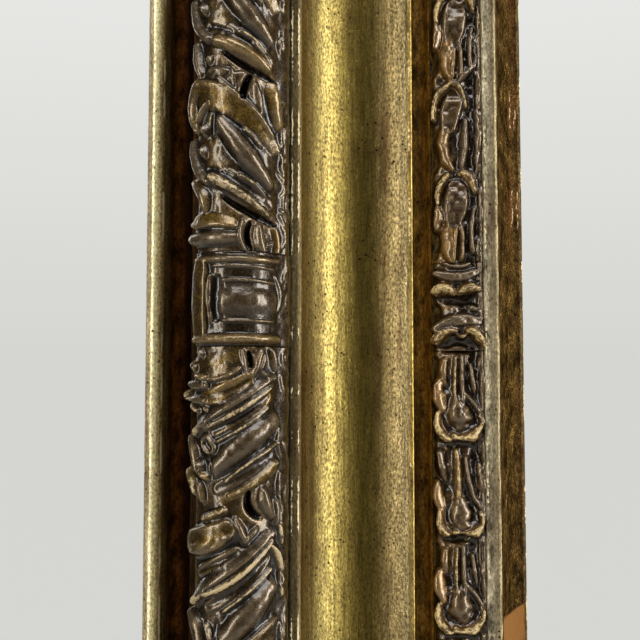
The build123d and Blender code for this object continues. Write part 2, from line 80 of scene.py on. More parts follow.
@dataclass(frozen=True)
class Stroke:
    """One leaf, bead, rim or drilled eye of the carving.

    The line runs through three places, each a share across the bed and a length along it. Width is the half
    width and rise the height over the ground at the same three places. Tone runs from warm gold (0) to grey
    (1), worn from whole gilding (0) to bare gesso (1), and lean tells which side of a shingle stands high.
    """

    form: Form
    line: tuple
    width: tuple
    rise: tuple
    tone: float = 0.5
    worn: float = 0.0
    lean: float = 1.0


def linear(code: str) -> tuple:
    """Turns an sRGB hex colour into linear RGBA.

    Args:
        code: The colour as #rrggbb.

    Returns:
        Red, green, blue and an alpha of one.
    """
    parts = [int(code[i : i + 2], 16) / 255 for i in (1, 3, 5)]
    return (*(c / 12.92 if c <= 0.04045 else ((c + 0.055) / 1.055) ** 2.4 for c in parts), 1.0)


def grey(share: float) -> str:
    """Turns a linear share into the sRGB hex colour of the same grey."""
    tone = round(255 * (12.92 * share if share <= 0.0031308 else 1.055 * share ** (1 / 2.4) - 0.055))
    return f"#{tone:02x}{tone:02x}{tone:02x}"


def smooth(value: np.ndarray, low: float = 0.0, high: float = 1.0) -> np.ndarray:
    """Eases a value from 0 at low to 1 at high.

    Args:
        value: The values to ease.
        low: Where the rise starts.
        high: Where the rise ends.

    Returns:
        The eased values.
    """
    t = np.clip((value - low) / (high - low), 0.0, 1.0)
    return t * t * (3 - 2 * t)


def through(values: tuple, t: np.ndarray) -> np.ndarray:
    """Draws a quadratic through three values.

    Args:
        values: The values at 0, a half and 1.
        t: Where to read the curve.

    Returns:
        The curve at each t, one row each.
    """
    first, middle, last = (np.asarray(v, float) for v in values)
    t = t.reshape((-1,) + (1,) * first.ndim)
    return first * (1 - t) * (1 - 2 * t) + middle * 4 * t * (1 - t) + last * t * (2 * t - 1)


def blurred(grid: np.ndarray, reach: tuple) -> np.ndarray:
    """Blurs a grid with a bell curve.

    Args:
        grid: The values.
        reach: The bell's spread in cells, for rows and columns.

    Returns:
        The blurred values.
    """
    for axis, sigma in enumerate(reach):
        radius = max(1, int(round(2.5 * sigma)))
        bell = np.exp(-0.5 * (np.arange(-radius, radius + 1) / max(sigma, 0.3)) ** 2)
        bell /= bell.sum()
        edge = [(radius, radius) if a == axis else (0, 0) for a in range(2)]
        padded = np.pad(grid, edge, mode="edge")
        size = grid.shape[axis]
        grid = sum(w * np.take(padded, range(k, k + size), axis=axis) for k, w in enumerate(bell))
    return grid


def drift(rng: np.random.Generator, rows: np.ndarray, columns: np.ndarray, cell: float) -> np.ndarray:
    """Makes smooth random unevenness over a grid.

    Args:
        rng: The seeded source of chance.
        rows: The rows' places in millimetres.
        columns: The columns' places in millimetres.
        cell: The size of one hump in millimetres.

    Returns:
        Values mostly between -1 and 1, one per row and column.
    """
    y, x = (rows - rows.min()) / cell, (columns - columns.min()) / cell
    knots = rng.uniform(-1, 1, (int(y.max()) + 2, int(x.max()) + 2))
    iy, ix = y.astype(int), x.astype(int)
    fy, fx = smooth(y - iy)[:, None], smooth(x - ix)[None, :]
    near = knots[np.ix_(iy, ix)] * (1 - fx) + knots[np.ix_(iy, ix + 1)] * fx
    far = knots[np.ix_(iy + 1, ix)] * (1 - fx) + knots[np.ix_(iy + 1, ix + 1)] * fx
    return near * (1 - fy) + far * fy


def slanted(grid: np.ndarray, along: np.ndarray, ends: np.ndarray, shares: np.ndarray,
            columns: np.ndarray) -> np.ndarray:
    """Reads a grid again so that its rows end at a mitre.

    Args:
        grid: The values, one row for each place along.
        along: The rows' places.
        ends: Where each new column ends.
        shares: The new rows, as shares of their column's end.
        columns: The old column that each new one reads.

    Returns:
        The values at the new rows and columns.
    """
    return np.stack([np.interp(shares * end, along, grid[:, c]) for end, c in zip(ends, columns)], axis=1)


@dataclass(frozen=True)
class Layout:
    """Where the rails lie in the row frame."""

    half_width: float = 279.0
    half_height: float = 319.0
    rail_width: float = 96.0

    def half_length(self, rail: Rail) -> float:
        """Gives half the outer length of a rail."""
        return self.half_height if rail in (Rail.LEFT, Rail.RIGHT) else self.half_width

    def place(self, rail: Rail, across: np.ndarray, height: np.ndarray, along: np.ndarray) -> np.ndarray:
        """Turns places on a rail into the row frame.

        Args:
            rail: The rail that the places are on.
            across: Distance from the outer edge.
            height: Distance from the wall plane.
            along: Distance from the rail's middle.

        Returns:
            Points in metres, in a last axis of three.
        """
        reach = self.half_width if rail in (Rail.LEFT, Rail.RIGHT) else self.half_height
        inward = across - reach
        x, z = {
            Rail.LEFT: (inward, along),
            Rail.TOP: (along, -inward),
            Rail.RIGHT: (-inward, -along),
            Rail.BOTTOM: (-along, inward),
        }[rail]
        return np.stack([x, -height, z], axis=-1) * MM

    def halves(self) -> list:
        """Lists the two halves of each rail with their names and directions."""
        names = {
            Rail.LEFT: ("left_upper", "left_lower"),
            Rail.RIGHT: ("right_lower", "right_upper"),
            Rail.TOP: ("top_right", "top_left"),
            Rail.BOTTOM: ("bottom_left", "bottom_right"),
        }
        return [(rail, name, way) for rail in Rail for name, way in zip(names[rail], (1, -1))]

    def corners(self) -> list:
        """Lists the corners, each with the two rail ends that meet there."""
        return [
            ("top_left", ((Rail.LEFT, 1), (Rail.TOP, -1))),
            ("top_right", ((Rail.TOP, 1), (Rail.RIGHT, -1))),
            ("bottom_right", ((Rail.RIGHT, 1), (Rail.BOTTOM, -1))),
            ("bottom_left", ((Rail.BOTTOM, 1), (Rail.LEFT, -1))),
        ]


LAYOUT = Layout()


def shell(name: str, loops: np.ndarray, fields: dict) -> bpy.types.Mesh:
    """Makes a closed skin from rows of closed sections.

    Args:
        name: The mesh's name.
        loops: Points in metres, one row for each section and one column for each point round it.
        fields: Values to keep on the points, by attribute name, each of the loops' rows and columns.

    Returns:
        The mesh, with its ends capped and its faces outwards.
    """
    rows, columns = loops.shape[:2]
    bm = bmesh.new()
    bmesh.ops.create_grid(bm, x_segments=columns, y_segments=rows - 1, size=1.0)
    mesh = bpy.data.meshes.new(name)
    bm.to_mesh(mesh)
    flat = np.empty(len(mesh.vertices) * 3, np.float32)
    mesh.vertices.foreach_get("co", flat)
    flat = flat.reshape(-1, 3)
    i = np.rint((flat[:, 0] + 1) / 2 * columns).astype(int) % columns
    j = np.rint((flat[:, 1] + 1) / 2 * (rows - 1)).astype(int)
    mesh.vertices.foreach_set("co", loops[j, i].astype(np.float32).ravel())
    for key, values in fields.items():
        mesh.attributes.new(key, "FLOAT", "POINT").data.foreach_set("value", values[j, i].astype(np.float32))
    bm.clear()
    bm.from_mesh(mesh)
    bmesh.ops.remove_doubles(bm, verts=bm.verts, dist=2e-6)
    bmesh.ops.holes_fill(bm, edges=[e for e in bm.edges if e.is_boundary], sides=0)
    bmesh.ops.recalc_face_normals(bm, faces=bm.faces)
    for face in bm.faces:
        face.smooth = len(face.verts) < 5
    bm.to_mesh(mesh)
    bm.free()
    return mesh


def piece(name: str, meshes: list, material: bpy.types.Material,
          replaced: str) -> bpy.types.Object:
    """Makes one finished piece from its skins, and lets it stand for a CAD node.

    Args:
        name: The piece's name.
        meshes: The skins to join.
        material: The finish.
        replaced: The CAD node that it stands for.

    Returns:
        The finished object.
    """
    joined = meshes[0]
    if len(meshes) > 1:
        bm = bmesh.new()
        for mesh in meshes:
            bm.from_mesh(mesh)
        bm.to_mesh(joined)
        bm.free()
    joined.materials.append(material)
    made = bpy.data.objects.new(name, joined)
    bpy.context.scene.collection.objects.link(made)
    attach(made, BODY)
    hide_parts(replaced)
    LOG.info("%s: %d faces", name, len(joined.polygons))
    return made


def nearest(points: np.ndarray, across: np.ndarray, along: np.ndarray) -> tuple:
    """Finds the nearest place on a drawn line.

    Args:
        points: The line's points, across and along.
        across: The places to measure from, across.
        along: The same places, along.

    Returns:
        The squared distance, how far along the line it is met as a share, and on which side, 1 or -1.
    """
    best, where, side = np.full(along.shape, np.inf), np.zeros(along.shape), np.zeros(along.shape)
    steps = len(points) - 1
    for k in range(steps):
        (a0, s0), (da, ds) = points[k], points[k + 1] - points[k]
        f = np.clip(((across - a0) * da + (along - s0) * ds) / (da * da + ds * ds), 0, 1)
        ra, rs = across - a0 - f * da, along - s0 - f * ds
        far = ra * ra + rs * rs
        near = far < best
        best, where = np.where(near, far, best), np.where(near, (k + f) / steps, where)
        side = np.where(near, np.sign(da * rs - ds * ra), side)
    return best, where, side


def squared_off(line: tuple, width: np.ndarray, across: np.ndarray, along: np.ndarray) -> np.ndarray:
    """Measures how far places lie outside a square-ended slab.

    Args:
        line: The slab's first, middle and last place.
        width: Its half width at each place.
        across: The places to measure from, across.
        along: The same places, along.

    Returns:
        The distances, below zero inside.
    """
    start, end = np.array(line[0]), np.array(line[2])
    half = np.linalg.norm(end - start) / 2
    d = (end - start) / (2 * half)
    ca, cs = across - (start[0] + end[0]) / 2, along - (start[1] + end[1]) / 2
    beyond, beside = np.abs(ca * d[0] + cs * d[1]) - half, np.abs(cs * d[0] - ca * d[1]) - width
    return np.maximum(beyond, beside)


def profile(stroke: Stroke, reach: np.ndarray, side: np.ndarray) -> np.ndarray:
    """Gives the height of a form, from its line to its edge.

    Args:
        stroke: The form.
        reach: The distance from its line, as a share of its half width.
        side: The side of its line, 1 or -1.

    Returns:
        The heights, as shares of its rise.
    """
    if stroke.form is Form.DOME:
        return np.clip(1 - reach * reach, 0, 1) ** 0.8
    if stroke.form is Form.FLAT:
        return 1 - smooth(reach, 0.7, 1.0)
    if stroke.form is Form.DISH:
        return (0.5 + 0.5 * smooth(reach, 0.0, 0.8)) * (1 - smooth(reach, 0.82, 1.0))
    if stroke.form is Form.SHINGLE:
        return (0.72 + 0.28 * stroke.lean * side * np.clip(reach, 0, 1)) * (1 - smooth(reach, 0.88, 1.0))
    return 1 - smooth(reach)


@dataclass
class Relief:
    """Heights of a carving over its unrolled bed, in rows along the rail and columns across it."""

    across: np.ndarray
    along: np.ndarray
    spread: Callable
    steps: int = 16
    blend: float = 0.7
    slab_edge: float = 0.8
    web_reach: float = 1.3
    web_depth: float = 0.4
    lump_size: float = 4.0
    grit_size: float = 1.2
    near_reach: float = 0.7
    wide_reach: float = 2.4
    deep: float = 1.1
    pitted: float = 0.3
    crested: float = 0.16
    height: np.ndarray = field(init=False)
    tone: np.ndarray = field(init=False)
    worn: np.ndarray = field(init=False)

    def __post_init__(self) -> None:
        """Starts with bare ground."""
        shape = (len(self.along), len(self.across))
        self.height, self.tone, self.worn = np.zeros(shape), np.full(shape, 0.4), np.zeros(shape)

    def lay(self, stroke: Stroke, offset: float = 0.0, swell: float = 1.0) -> None:
        """Carves one form.

        Args:
            stroke: The form.
            offset: How far along the bed it is moved.
            swell: What its rise is multiplied by.
        """
        line = tuple((self.spread(share), place + offset) for share, place in stroke.line)
        t = np.linspace(0, 1, self.steps + 1)
        points, widths, rises = through(line, t), through(stroke.width, t), through(stroke.rise, t)
        margin = widths.max() * 1.05
        low, high = points.min(0) - margin, points.max(0) + margin
        rows = np.flatnonzero((self.along > low[1]) & (self.along < high[1]))
        columns = np.flatnonzero((self.across > low[0]) & (self.across < high[0]))
        if not len(rows) or not len(columns):
            return
        window = np.ix_(rows, columns)
        along, across = np.meshgrid(self.along[rows], self.across[columns], indexing="ij")
        squared, where, side = nearest(points, across, along)
        width = np.interp(where, t, widths)
        rise = np.interp(where, t, rises) * (1.0 if stroke.form is Form.HOLE else swell)
        reach = np.sqrt(squared) / width
        ground = self.height[window]
        if stroke.form is Form.HOLE:
            self.height[window] = np.minimum(ground, rise + (ground - rise) * smooth(reach, 0.25, 1.0))
            return
        if stroke.form is Form.SLAB:
            reach = squared_off(line, width, across, along) / self.slab_edge + 1
        carved = rise * profile(stroke, reach, side)
        wins = (carved > ground) & (reach < 1)
        join = np.clip(self.blend - np.abs(carved - ground), 0, None) ** 2 / (4 * self.blend)
        join *= 1 - smooth(reach, 0.75, 1.0)
        self.height[window] = np.where(reach < 1, np.maximum(carved, ground) + join, ground)
        self.tone[window] = np.where(wins, stroke.tone, self.tone[window])
        self.worn[window] = np.where(wins, stroke.worn, self.worn[window])

    def carve(self, strokes: tuple) -> None:
        """Carves a set of forms, with the drilled eyes last."""
        for stroke in sorted(strokes, key=lambda one: one.form is Form.HOLE):
            self.lay(stroke)

    def softened(self, grid: np.ndarray, reach: float) -> np.ndarray:
        """Blurs a grid of this carving by a reach in millimetres."""
        step = (np.diff(self.along).mean(), np.diff(self.across).mean())
        return blurred(grid, tuple(reach / c for c in step))

    def finish(self, rng: np.random.Generator, soft: float, rough: float) -> dict:
        """Softens the carving under its gesso and reads what the finish needs.

        Args:
            rng: The seeded source of chance.
            soft: How far the gesso rounds the forms, in millimetres.
            rough: How uneven the surface is, in millimetres.

        Returns:
            The fields of the finish, by attribute name.
        """
        web = self.softened(self.height, self.web_reach) - self.web_depth
        self.height = np.where(self.height > 0, np.maximum(self.height, web), self.height)
        self.height += rough * drift(rng, self.along, self.across, self.lump_size)
        self.height += 0.9 * rough * drift(rng, self.along, self.across, self.grit_size)
        self.height = self.softened(self.height, soft)
        near = self.softened(self.height, self.near_reach)
        wide = self.softened(self.height, self.wide_reach)
        valley = np.clip((wide - self.height) / self.deep, 0, 1)
        pit = np.clip((near - self.height) / self.pitted, 0, 1)
        return {
            "hollow": valley * 0.7 + pit * 0.3,
            "crest": np.clip((self.height - near) / self.crested, 0, 1),
            "tone": self.softened(self.tone, 0.25),
            "worn": self.softened(self.worn, 0.2),
        }


# One letter for each form keeps the tables below narrow.
D, F, C, G, B, H = Form.DOME, Form.FLAT, Form.DISH, Form.SHINGLE, Form.SLAB, Form.HOLE


def chisel(*rows: tuple) -> tuple:
    """Makes the forms of a carving.

    Args:
        rows: For each form its kind, its three places as shares across and lengths along, and the half widths
            and rises there. Tone, wear and lean follow where they are given.

    Returns:
        The forms.
    """
    return tuple(Stroke(kind, tuple(zip(places[::2], places[1::2])), *rest) for kind, places, *rest in rows)


# The four photographed leaf units, as chisel forms from the strap's edge outwards. A share of 0 is the torus'
# outer side and 1 its cove side.
LOWER_FIRST = chisel(
    (G, (0.07, 4.5, 0.33, 4.2, 0.55, 2.8), (2.6, 3.0, 2.3), (1.3, 1.6, 1.5), 0.35),
    (D, (0.21, 7.6, 0.40, 7.0, 0.56, 5.0), (0.5, 0.5, 0.45), (1.9, 2.1, 2.0), 0.4, 0.5),
    (D, (0.12, 0.9, 0.13, 1.5, 0.15, 2.2), (0.9, 1.1, 0.9), (1.8, 2.2, 1.9), 0.8),
    (D, (0.05, 3.8, 0.075, 4.7, 0.09, 5.6), (1.0, 1.3, 1.0), (2.2, 2.6, 2.2), 0.9),
    (D, (0.09, 6.9, 0.15, 7.1, 0.20, 7.2), (0.8, 1.1, 0.9), (2.2, 2.5, 2.3), 0.0),
    (F, (0.02, 8.5, 0.10, 8.8, 0.20, 8.9), (1.0, 1.2, 0.9), (2.2, 2.2, 1.9), 1.0),
    (D, (-0.02, 10.0, 0.0, 10.9, 0.01, 11.9), (0.8, 1.1, 0.9), (2.9, 3.2, 2.9), 0.6, 0.5),
    (D, (0.03, 11.8, 0.10, 12.3, 0.18, 12.4), (1.3, 1.5, 1.1), (1.9, 2.1, 1.8), 0.7),
    (D, (0.04, 13.4, 0.07, 14.2, 0.11, 14.8), (0.7, 0.9, 0.7), (2.0, 2.3, 2.0), 0.3, 0.5),
    (D, (0.18, 14.0, 0.20, 14.4, 0.22, 14.6), (0.5, 0.6, 0.5), (2.0, 2.2, 2.0), 0.3, 0.5),
    (C, (0.17, 11.8, 0.40, 10.4, 0.64, 7.6), (1.6, 2.4, 1.7), (1.3, 1.4, 1.5), 0.1),
    (H, (0.655, 1.6, 0.665, 3.2, 0.68, 4.6), (0.45, 0.7, 0.4), (-1.2, -1.6, -1.2)),
    (D, (0.70, 6.2, 0.735, 3.6, 0.775, 1.0), (1.2, 1.6, 1.1), (2.1, 2.3, 2.0), 0.5),
    (D, (0.765, 5.4, 0.79, 3.6, 0.81, 1.8), (0.35, 0.45, 0.35), (2.5, 2.6, 2.4), 0.7, 0.5),
    (D, (0.88, 1.2, 0.90, 3.5, 0.91, 5.4), (1.2, 1.5, 1.1), (2.0, 2.2, 1.9), 0.4),
    (D, (0.78, 6.1, 0.80, 6.4, 0.83, 6.6), (0.6, 0.7, 0.6), (2.1, 2.4, 2.1), 0.8, 0.3),
    (D, (0.58, 1.0, 0.60, 3.6, 0.62, 6.2), (0.7, 0.9, 0.7), (1.7, 1.9, 1.7), 0.8),
    (G, (0.11, 18.4, 0.46, 12.9, 0.885, 6.9), (1.0, 1.6, 1.2), (2.7, 2.8, 2.3), 1.0),
    (D, (0.19, 18.6, 0.48, 15.4, 0.885, 8.9), (0.6, 1.0, 0.45), (2.1, 2.3, 2.1), 0.45, 0.62),
    (H, (0.24, 17.2, 0.48, 14.2, 0.88, 7.9), (0.3, 0.35, 0.3), (0.9, 0.9, 0.9)),
    (D, (0.08, 20.0, 0.12, 19.0, 0.15, 18.0), (0.8, 1.1, 0.8), (2.5, 2.8, 2.5), 0.4, 0.6),
    (C, (0.26, 19.4, 0.54, 16.2, 0.83, 11.6), (1.4, 1.9, 1.7), (1.3, 1.4, 1.4), 0.25),
    (D, (0.32, 21.6, 0.58, 18.4, 0.83, 13.9), (0.4, 0.5, 0.45), (2.4, 2.7, 2.6), 0.8, 0.6),
    (D, (0.30, 27.6, 0.62, 21.7, 0.88, 17.3), (2.6, 3.8, 3.0), (2.3, 2.9, 2.9), 1.0),
    (D, (0.41, 30.5, 0.68, 25.9, 0.925, 22.0), (0.35, 0.4, 0.35), (2.3, 2.6, 2.6), 0.8, 0.6),
    (C, (0.33, 32.0, 0.62, 28.6, 0.87, 24.7), (1.5, 1.7, 1.4), (1.2, 1.3, 1.3), 0.8),
    (G, (0.45, 33.8, 0.70, 31.0, 0.90, 27.4), (0.6, 1.0, 1.7), (2.2, 2.4, 2.5), 0.1, 0.5, -1.0),
    (C, (0.21, 21.8, 0.23, 22.5, 0.25, 23.1), (1.9, 2.0, 1.8), (2.3, 2.4, 2.2), 0.7),
    (D, (0.03, 20.8, 0.07, 24.4, 0.11, 28.2), (1.2, 1.9, 1.3), (2.2, 2.6, 2.3), 0.4, 0.15),
    (D, (0.13, 26.2, 0.15, 26.9, 0.17, 27.7), (0.7, 0.9, 0.7), (2.6, 3.0, 2.6), 0.8),
    (D, (0.15, 28.8, 0.18, 29.3, 0.21, 29.8), (0.9, 1.1, 0.9), (2.3, 2.6, 2.3), 0.0),
    (H, (0.25, 24.8, 0.265, 27.0, 0.27, 29.2), (0.6, 0.8, 0.6), (0.4, 0.3, 0.4)),
    (D, (0.02, 28.6, 0.06, 30.6, 0.10, 33.2), (1.4, 1.8, 1.3), (2.5, 2.7, 2.4), 0.3, 0.5),
    (D, (0.14, 31.2, 0.16, 33.0, 0.17, 35.0), (0.9, 1.1, 0.9), (2.2, 2.4, 2.2), 0.4, 0.3),
)

LOWER_SECOND = chisel(
    (H, (0.66, -0.4, 0.665, 2.6, 0.77, 4.8), (0.8, 1.4, 0.7), (-1.4, -1.9, -1.0)),
    (F, (0.05, 10.6, 0.22, 9.7, 0.42, 7.4), (3.5, 3.9, 2.8), (2.0, 2.2, 1.9), 0.3),
    (D, (0.10, 11.6, 0.20, 11.0, 0.28, 10.0), (1.2, 1.8, 1.0), (2.4, 2.7, 2.3), 0.15, 0.15),
    (D, (0.41, 9.2, 0.45, 9.0, 0.48, 8.6), (0.6, 0.8, 0.6), (2.2, 2.5, 2.2), 0.8, 0.3),
    (D, (0.06, 12.9, 0.11, 12.6, 0.16, 12.1), (0.8, 1.1, 0.8), (2.4, 2.8, 2.4), 0.8, 0.3),
    (D, (0.18, 5.2, 0.28, 4.2, 0.40, 3.0), (0.9, 1.1, 0.8), (2.1, 2.4, 2.0), 0.2, 0.5),
    (D, (0.80, -0.8, 0.83, 2.2, 0.88, 4.8), (1.3, 2.0, 1.2), (2.1, 2.5, 2.0), 0.7),
    (D, (0.92, 1.8, 0.93, 4.5, 0.93, 6.6), (1.0, 1.3, 1.0), (1.9, 2.1, 1.9), 0.6),
    (D, (0.52, 5.2, 0.58, 7.8, 0.63, 10.2), (1.0, 1.4, 0.9), (1.8, 2.2, 1.8), 0.8, 0.1),
    (D, (0.61, 10.2, 0.68, 8.6, 0.74, 7.2), (0.6, 0.9, 0.6), (2.0, 2.3, 2.0), 0.7, 0.4),
    (C, (0.14, 17.0, 0.34, 14.6, 0.54, 12.4), (1.2, 1.5, 1.2), (1.4, 1.5, 1.4), 0.4),
    (G, (0.09, 22.4, 0.41, 16.5, 0.87, 8.4), (1.2, 1.8, 1.3), (2.7, 2.9, 2.4), 1.0),
    (D, (0.20, 22.0, 0.53, 18.1, 0.88, 10.2), (0.75, 1.0, 0.6), (2.3, 2.4, 2.2), 0.3, 0.76),
    (H, (0.24, 20.9, 0.50, 17.0, 0.87, 9.6), (0.3, 0.35, 0.3), (0.8, 0.8, 0.8)),
    (D, (0.08, 24.2, 0.11, 23.2, 0.17, 22.2), (0.9, 1.2, 0.8), (2.5, 2.8, 2.5), 0.4, 0.8),
    (C, (0.22, 24.6, 0.53, 20.6, 0.84, 14.0), (1.3, 1.8, 1.5), (1.3, 1.3, 1.3), 0.6),
    (D, (0.39, 25.5, 0.62, 21.6, 0.87, 16.4), (0.35, 0.45, 0.35), (2.5, 2.7, 2.6), 0.8, 0.7),
    (D, (0.36, 32.4, 0.64, 26.6, 0.86, 20.6), (2.6, 3.6, 2.7), (2.4, 2.9, 2.8), 0.9),
    (H, (0.40, 35.8, 0.68, 30.7, 0.91, 25.9), (0.35, 0.4, 0.35), (0.5, 0.3, 0.5)),
    (G, (0.42, 37.5, 0.68, 32.8, 0.92, 28.4), (1.2, 1.3, 1.1), (2.1, 2.2, 2.1), 0.4, 0.4, -1.0),
    (D, (0.05, 26.6, 0.13, 30.5, 0.17, 36.0), (1.6, 2.8, 2.2), (2.4, 2.8, 2.5), 0.6, 0.1),
    (D, (0.21, 28.4, 0.265, 31.0, 0.27, 35.4), (0.4, 0.55, 0.5), (2.5, 2.7, 2.5), 0.4, 0.5),
    (H, (0.32, 27.6, 0.33, 30.0, 0.33, 32.4), (0.6, 0.8, 0.6), (0.4, 0.2, 0.4)),
    (F, (0.945, 7.0, 0.955, 8.8, 0.965, 11.2), (0.4, 0.6, 0.4), (2.1, 2.3, 2.1), 0.3, 1.0),
    (F, (0.88, 11.6, 0.93, 14.0, 0.95, 17.0), (0.5, 1.0, 0.5), (2.2, 2.4, 2.2), 0.2, 1.0),
    (F, (0.95, 21.2, 0.955, 22.2, 0.96, 23.3), (0.25, 0.35, 0.25), (2.2, 2.3, 2.2), 0.3, 1.0),
)

UPPER_LEAVES = chisel(
    (C, (0.42, 17.8, 0.64, 14.4, 0.86, 11.0), (1.4, 1.6, 1.4), (1.1, 1.2, 1.1), 0.9),
    (D, (0.54, 17.6, 0.68, 15.7, 0.81, 13.0), (0.3, 0.4, 0.3), (2.2, 2.4, 2.2), 0.8, 0.7),
    (D, (0.33, 30.2, 0.58, 23.0, 0.84, 15.6), (2.0, 3.2, 1.8), (2.3, 2.9, 2.5), 1.0),
    (D, (0.20, 16.2, 0.07, 20.5, 0.03, 26.4), (1.2, 1.9, 1.5), (2.3, 2.6, 2.4), 0.7),
    (D, (0.16, 22.4, 0.15, 23.4, 0.14, 24.5), (0.7, 0.9, 0.7), (2.4, 2.8, 2.4), 0.9),
    (D, (0.17, 27.4, 0.16, 28.4, 0.15, 29.4), (0.8, 1.0, 0.8), (2.3, 2.6, 2.3), 0.8),
    (H, (0.24, 26.4, 0.25, 29.5, 0.27, 32.4), (0.7, 1.4, 1.0), (0.4, 0.0, 0.4)),
    (H, (0.36, 12.6, 0.64, 9.0, 0.92, 6.4), (0.5, 0.95, 0.7), (-0.3, -1.0, -0.6)),
    (H, (0.20, 19.4, 0.30, 18.6, 0.44, 17.2), (0.8, 0.9, 0.8), (0.4, 0.2, 0.4)),
    (G, (0.14, 37.0, 0.50, 33.2, 0.90, 24.0), (3.6, 3.1, 1.4), (2.6, 2.6, 2.3), 0.25),
    (D, (0.30, 40.3, 0.60, 34.4, 0.86, 26.8), (0.3, 0.4, 0.35), (2.8, 3.0, 2.8), 0.4, 0.55),
    (D, (0.59, 28.3, 0.68, 26.5, 0.76, 24.4), (0.3, 0.35, 0.3), (2.4, 2.5, 2.4), 0.7, 0.7),
    (D, (0.07, 29.0, 0.03, 34.6, 0.10, 39.4), (1.1, 2.3, 2.6), (2.3, 2.9, 2.9), 0.3),
    (D, (0.10, 29.0, 0.12, 32.0, 0.20, 34.8), (0.5, 0.65, 0.5), (2.6, 2.9, 2.6), 0.3, 0.3),
)

UPPER_FIRST = chisel(
    (D, (0.04, 3.4, 0.27, 3.2, 0.52, 3.0), (2.1, 2.3, 1.9), (2.7, 2.3, 1.8), 0.8),
    (G, (0.06, 7.5, 0.25, 7.4, 0.48, 6.3), (1.8, 1.7, 1.0), (2.5, 2.3, 2.1), 0.1, 0.2, -1.0),
    (D, (0.60, 0.4, 0.545, 3.6, 0.575, 6.8), (0.7, 0.9, 0.7), (1.9, 2.1, 1.8), 0.9, 0.2),
    (H, (0.67, 0.4, 0.625, 3.6, 0.66, 6.6), (0.5, 0.85, 0.5), (-1.0, -1.6, -1.0)),
    (D, (0.80, -0.8, 0.755, 2.2, 0.74, 5.6), (1.2, 1.7, 1.2), (2.1, 2.4, 2.1), 0.5),
    (D, (0.83, 1.2, 0.85, 1.7, 0.87, 2.2), (0.5, 0.6, 0.5), (2.4, 2.7, 2.4), 0.6, 0.4),
    (D, (0.91, -0.6, 0.92, 2.4, 0.90, 5.6), (1.2, 1.6, 1.2), (2.0, 2.2, 1.9), 0.1),
    (D, (0.17, 10.2, 0.14, 13.2, 0.05, 16.6), (1.5, 2.3, 1.6), (2.1, 2.5, 2.3), 0.3, 0.2),
    (D, (0.25, 17.2, 0.52, 13.6, 0.80, 8.9), (1.7, 1.5, 0.8), (2.8, 2.7, 2.3), 0.5, 0.55),
    (C, (0.78, 9.4, 0.80, 8.7, 0.82, 8.0), (1.0, 1.2, 1.0), (2.2, 2.4, 2.2), 0.6, 0.3),
) + UPPER_LEAVES

UPPER_SECOND = chisel(
    (F, (0.22, 7.8, 0.33, 7.3, 0.44, 6.8), (2.0, 2.3, 2.0), (1.4, 1.5, 1.4), 0.6),
    (F, (0.48, 6.2, 0.56, 6.4, 0.66, 6.0), (1.8, 2.0, 1.6), (1.4, 1.5, 1.3), 0.7),
    (D, (0.455, 8.6, 0.47, 6.6, 0.485, 4.4), (0.4, 0.55, 0.4), (1.8, 2.0, 1.8), 0.8, 0.4),
    (D, (0.05, 6.6, 0.14, 5.4, 0.24, 4.6), (1.4, 1.9, 1.2), (2.2, 2.4, 2.0), 0.2, 0.1),
    (H, (0.57, 2.0, 0.60, 4.8, 0.66, 7.2), (0.8, 1.1, 0.8), (-1.8, -2.4, -1.8)),
    (D, (0.75, -1.8, 0.715, 1.8, 0.69, 4.8), (1.2, 1.8, 1.3), (2.1, 2.4, 2.2), 0.6),
    (D, (0.75, -2.0, 0.745, 2.0, 0.695, 4.4), (0.3, 0.35, 0.3), (2.6, 2.8, 2.6), 0.8, 0.5),
    (D, (0.93, -3.6, 0.89, 1.2, 0.88, 5.4), (1.7, 2.8, 2.0), (2.4, 2.9, 2.4), 0.1),
    (D, (0.12, 8.2, 0.08, 11.8, 0.07, 15.4), (1.6, 2.0, 1.6), (2.4, 2.7, 2.4), 0.7),
    (D, (0.20, 10.6, 0.21, 11.2, 0.22, 11.9), (0.5, 0.7, 0.5), (2.4, 2.8, 2.4), 0.8, 0.3),
    (D, (0.28, 15.6, 0.58, 13.0, 0.84, 8.8), (1.6, 1.9, 1.0), (2.3, 2.4, 2.0), 0.1),
    (D, (0.68, 14.8, 0.78, 12.2, 0.86, 9.6), (0.3, 0.4, 0.35), (2.5, 2.7, 2.5), 0.5, 0.7),
) + UPPER_LEAVES

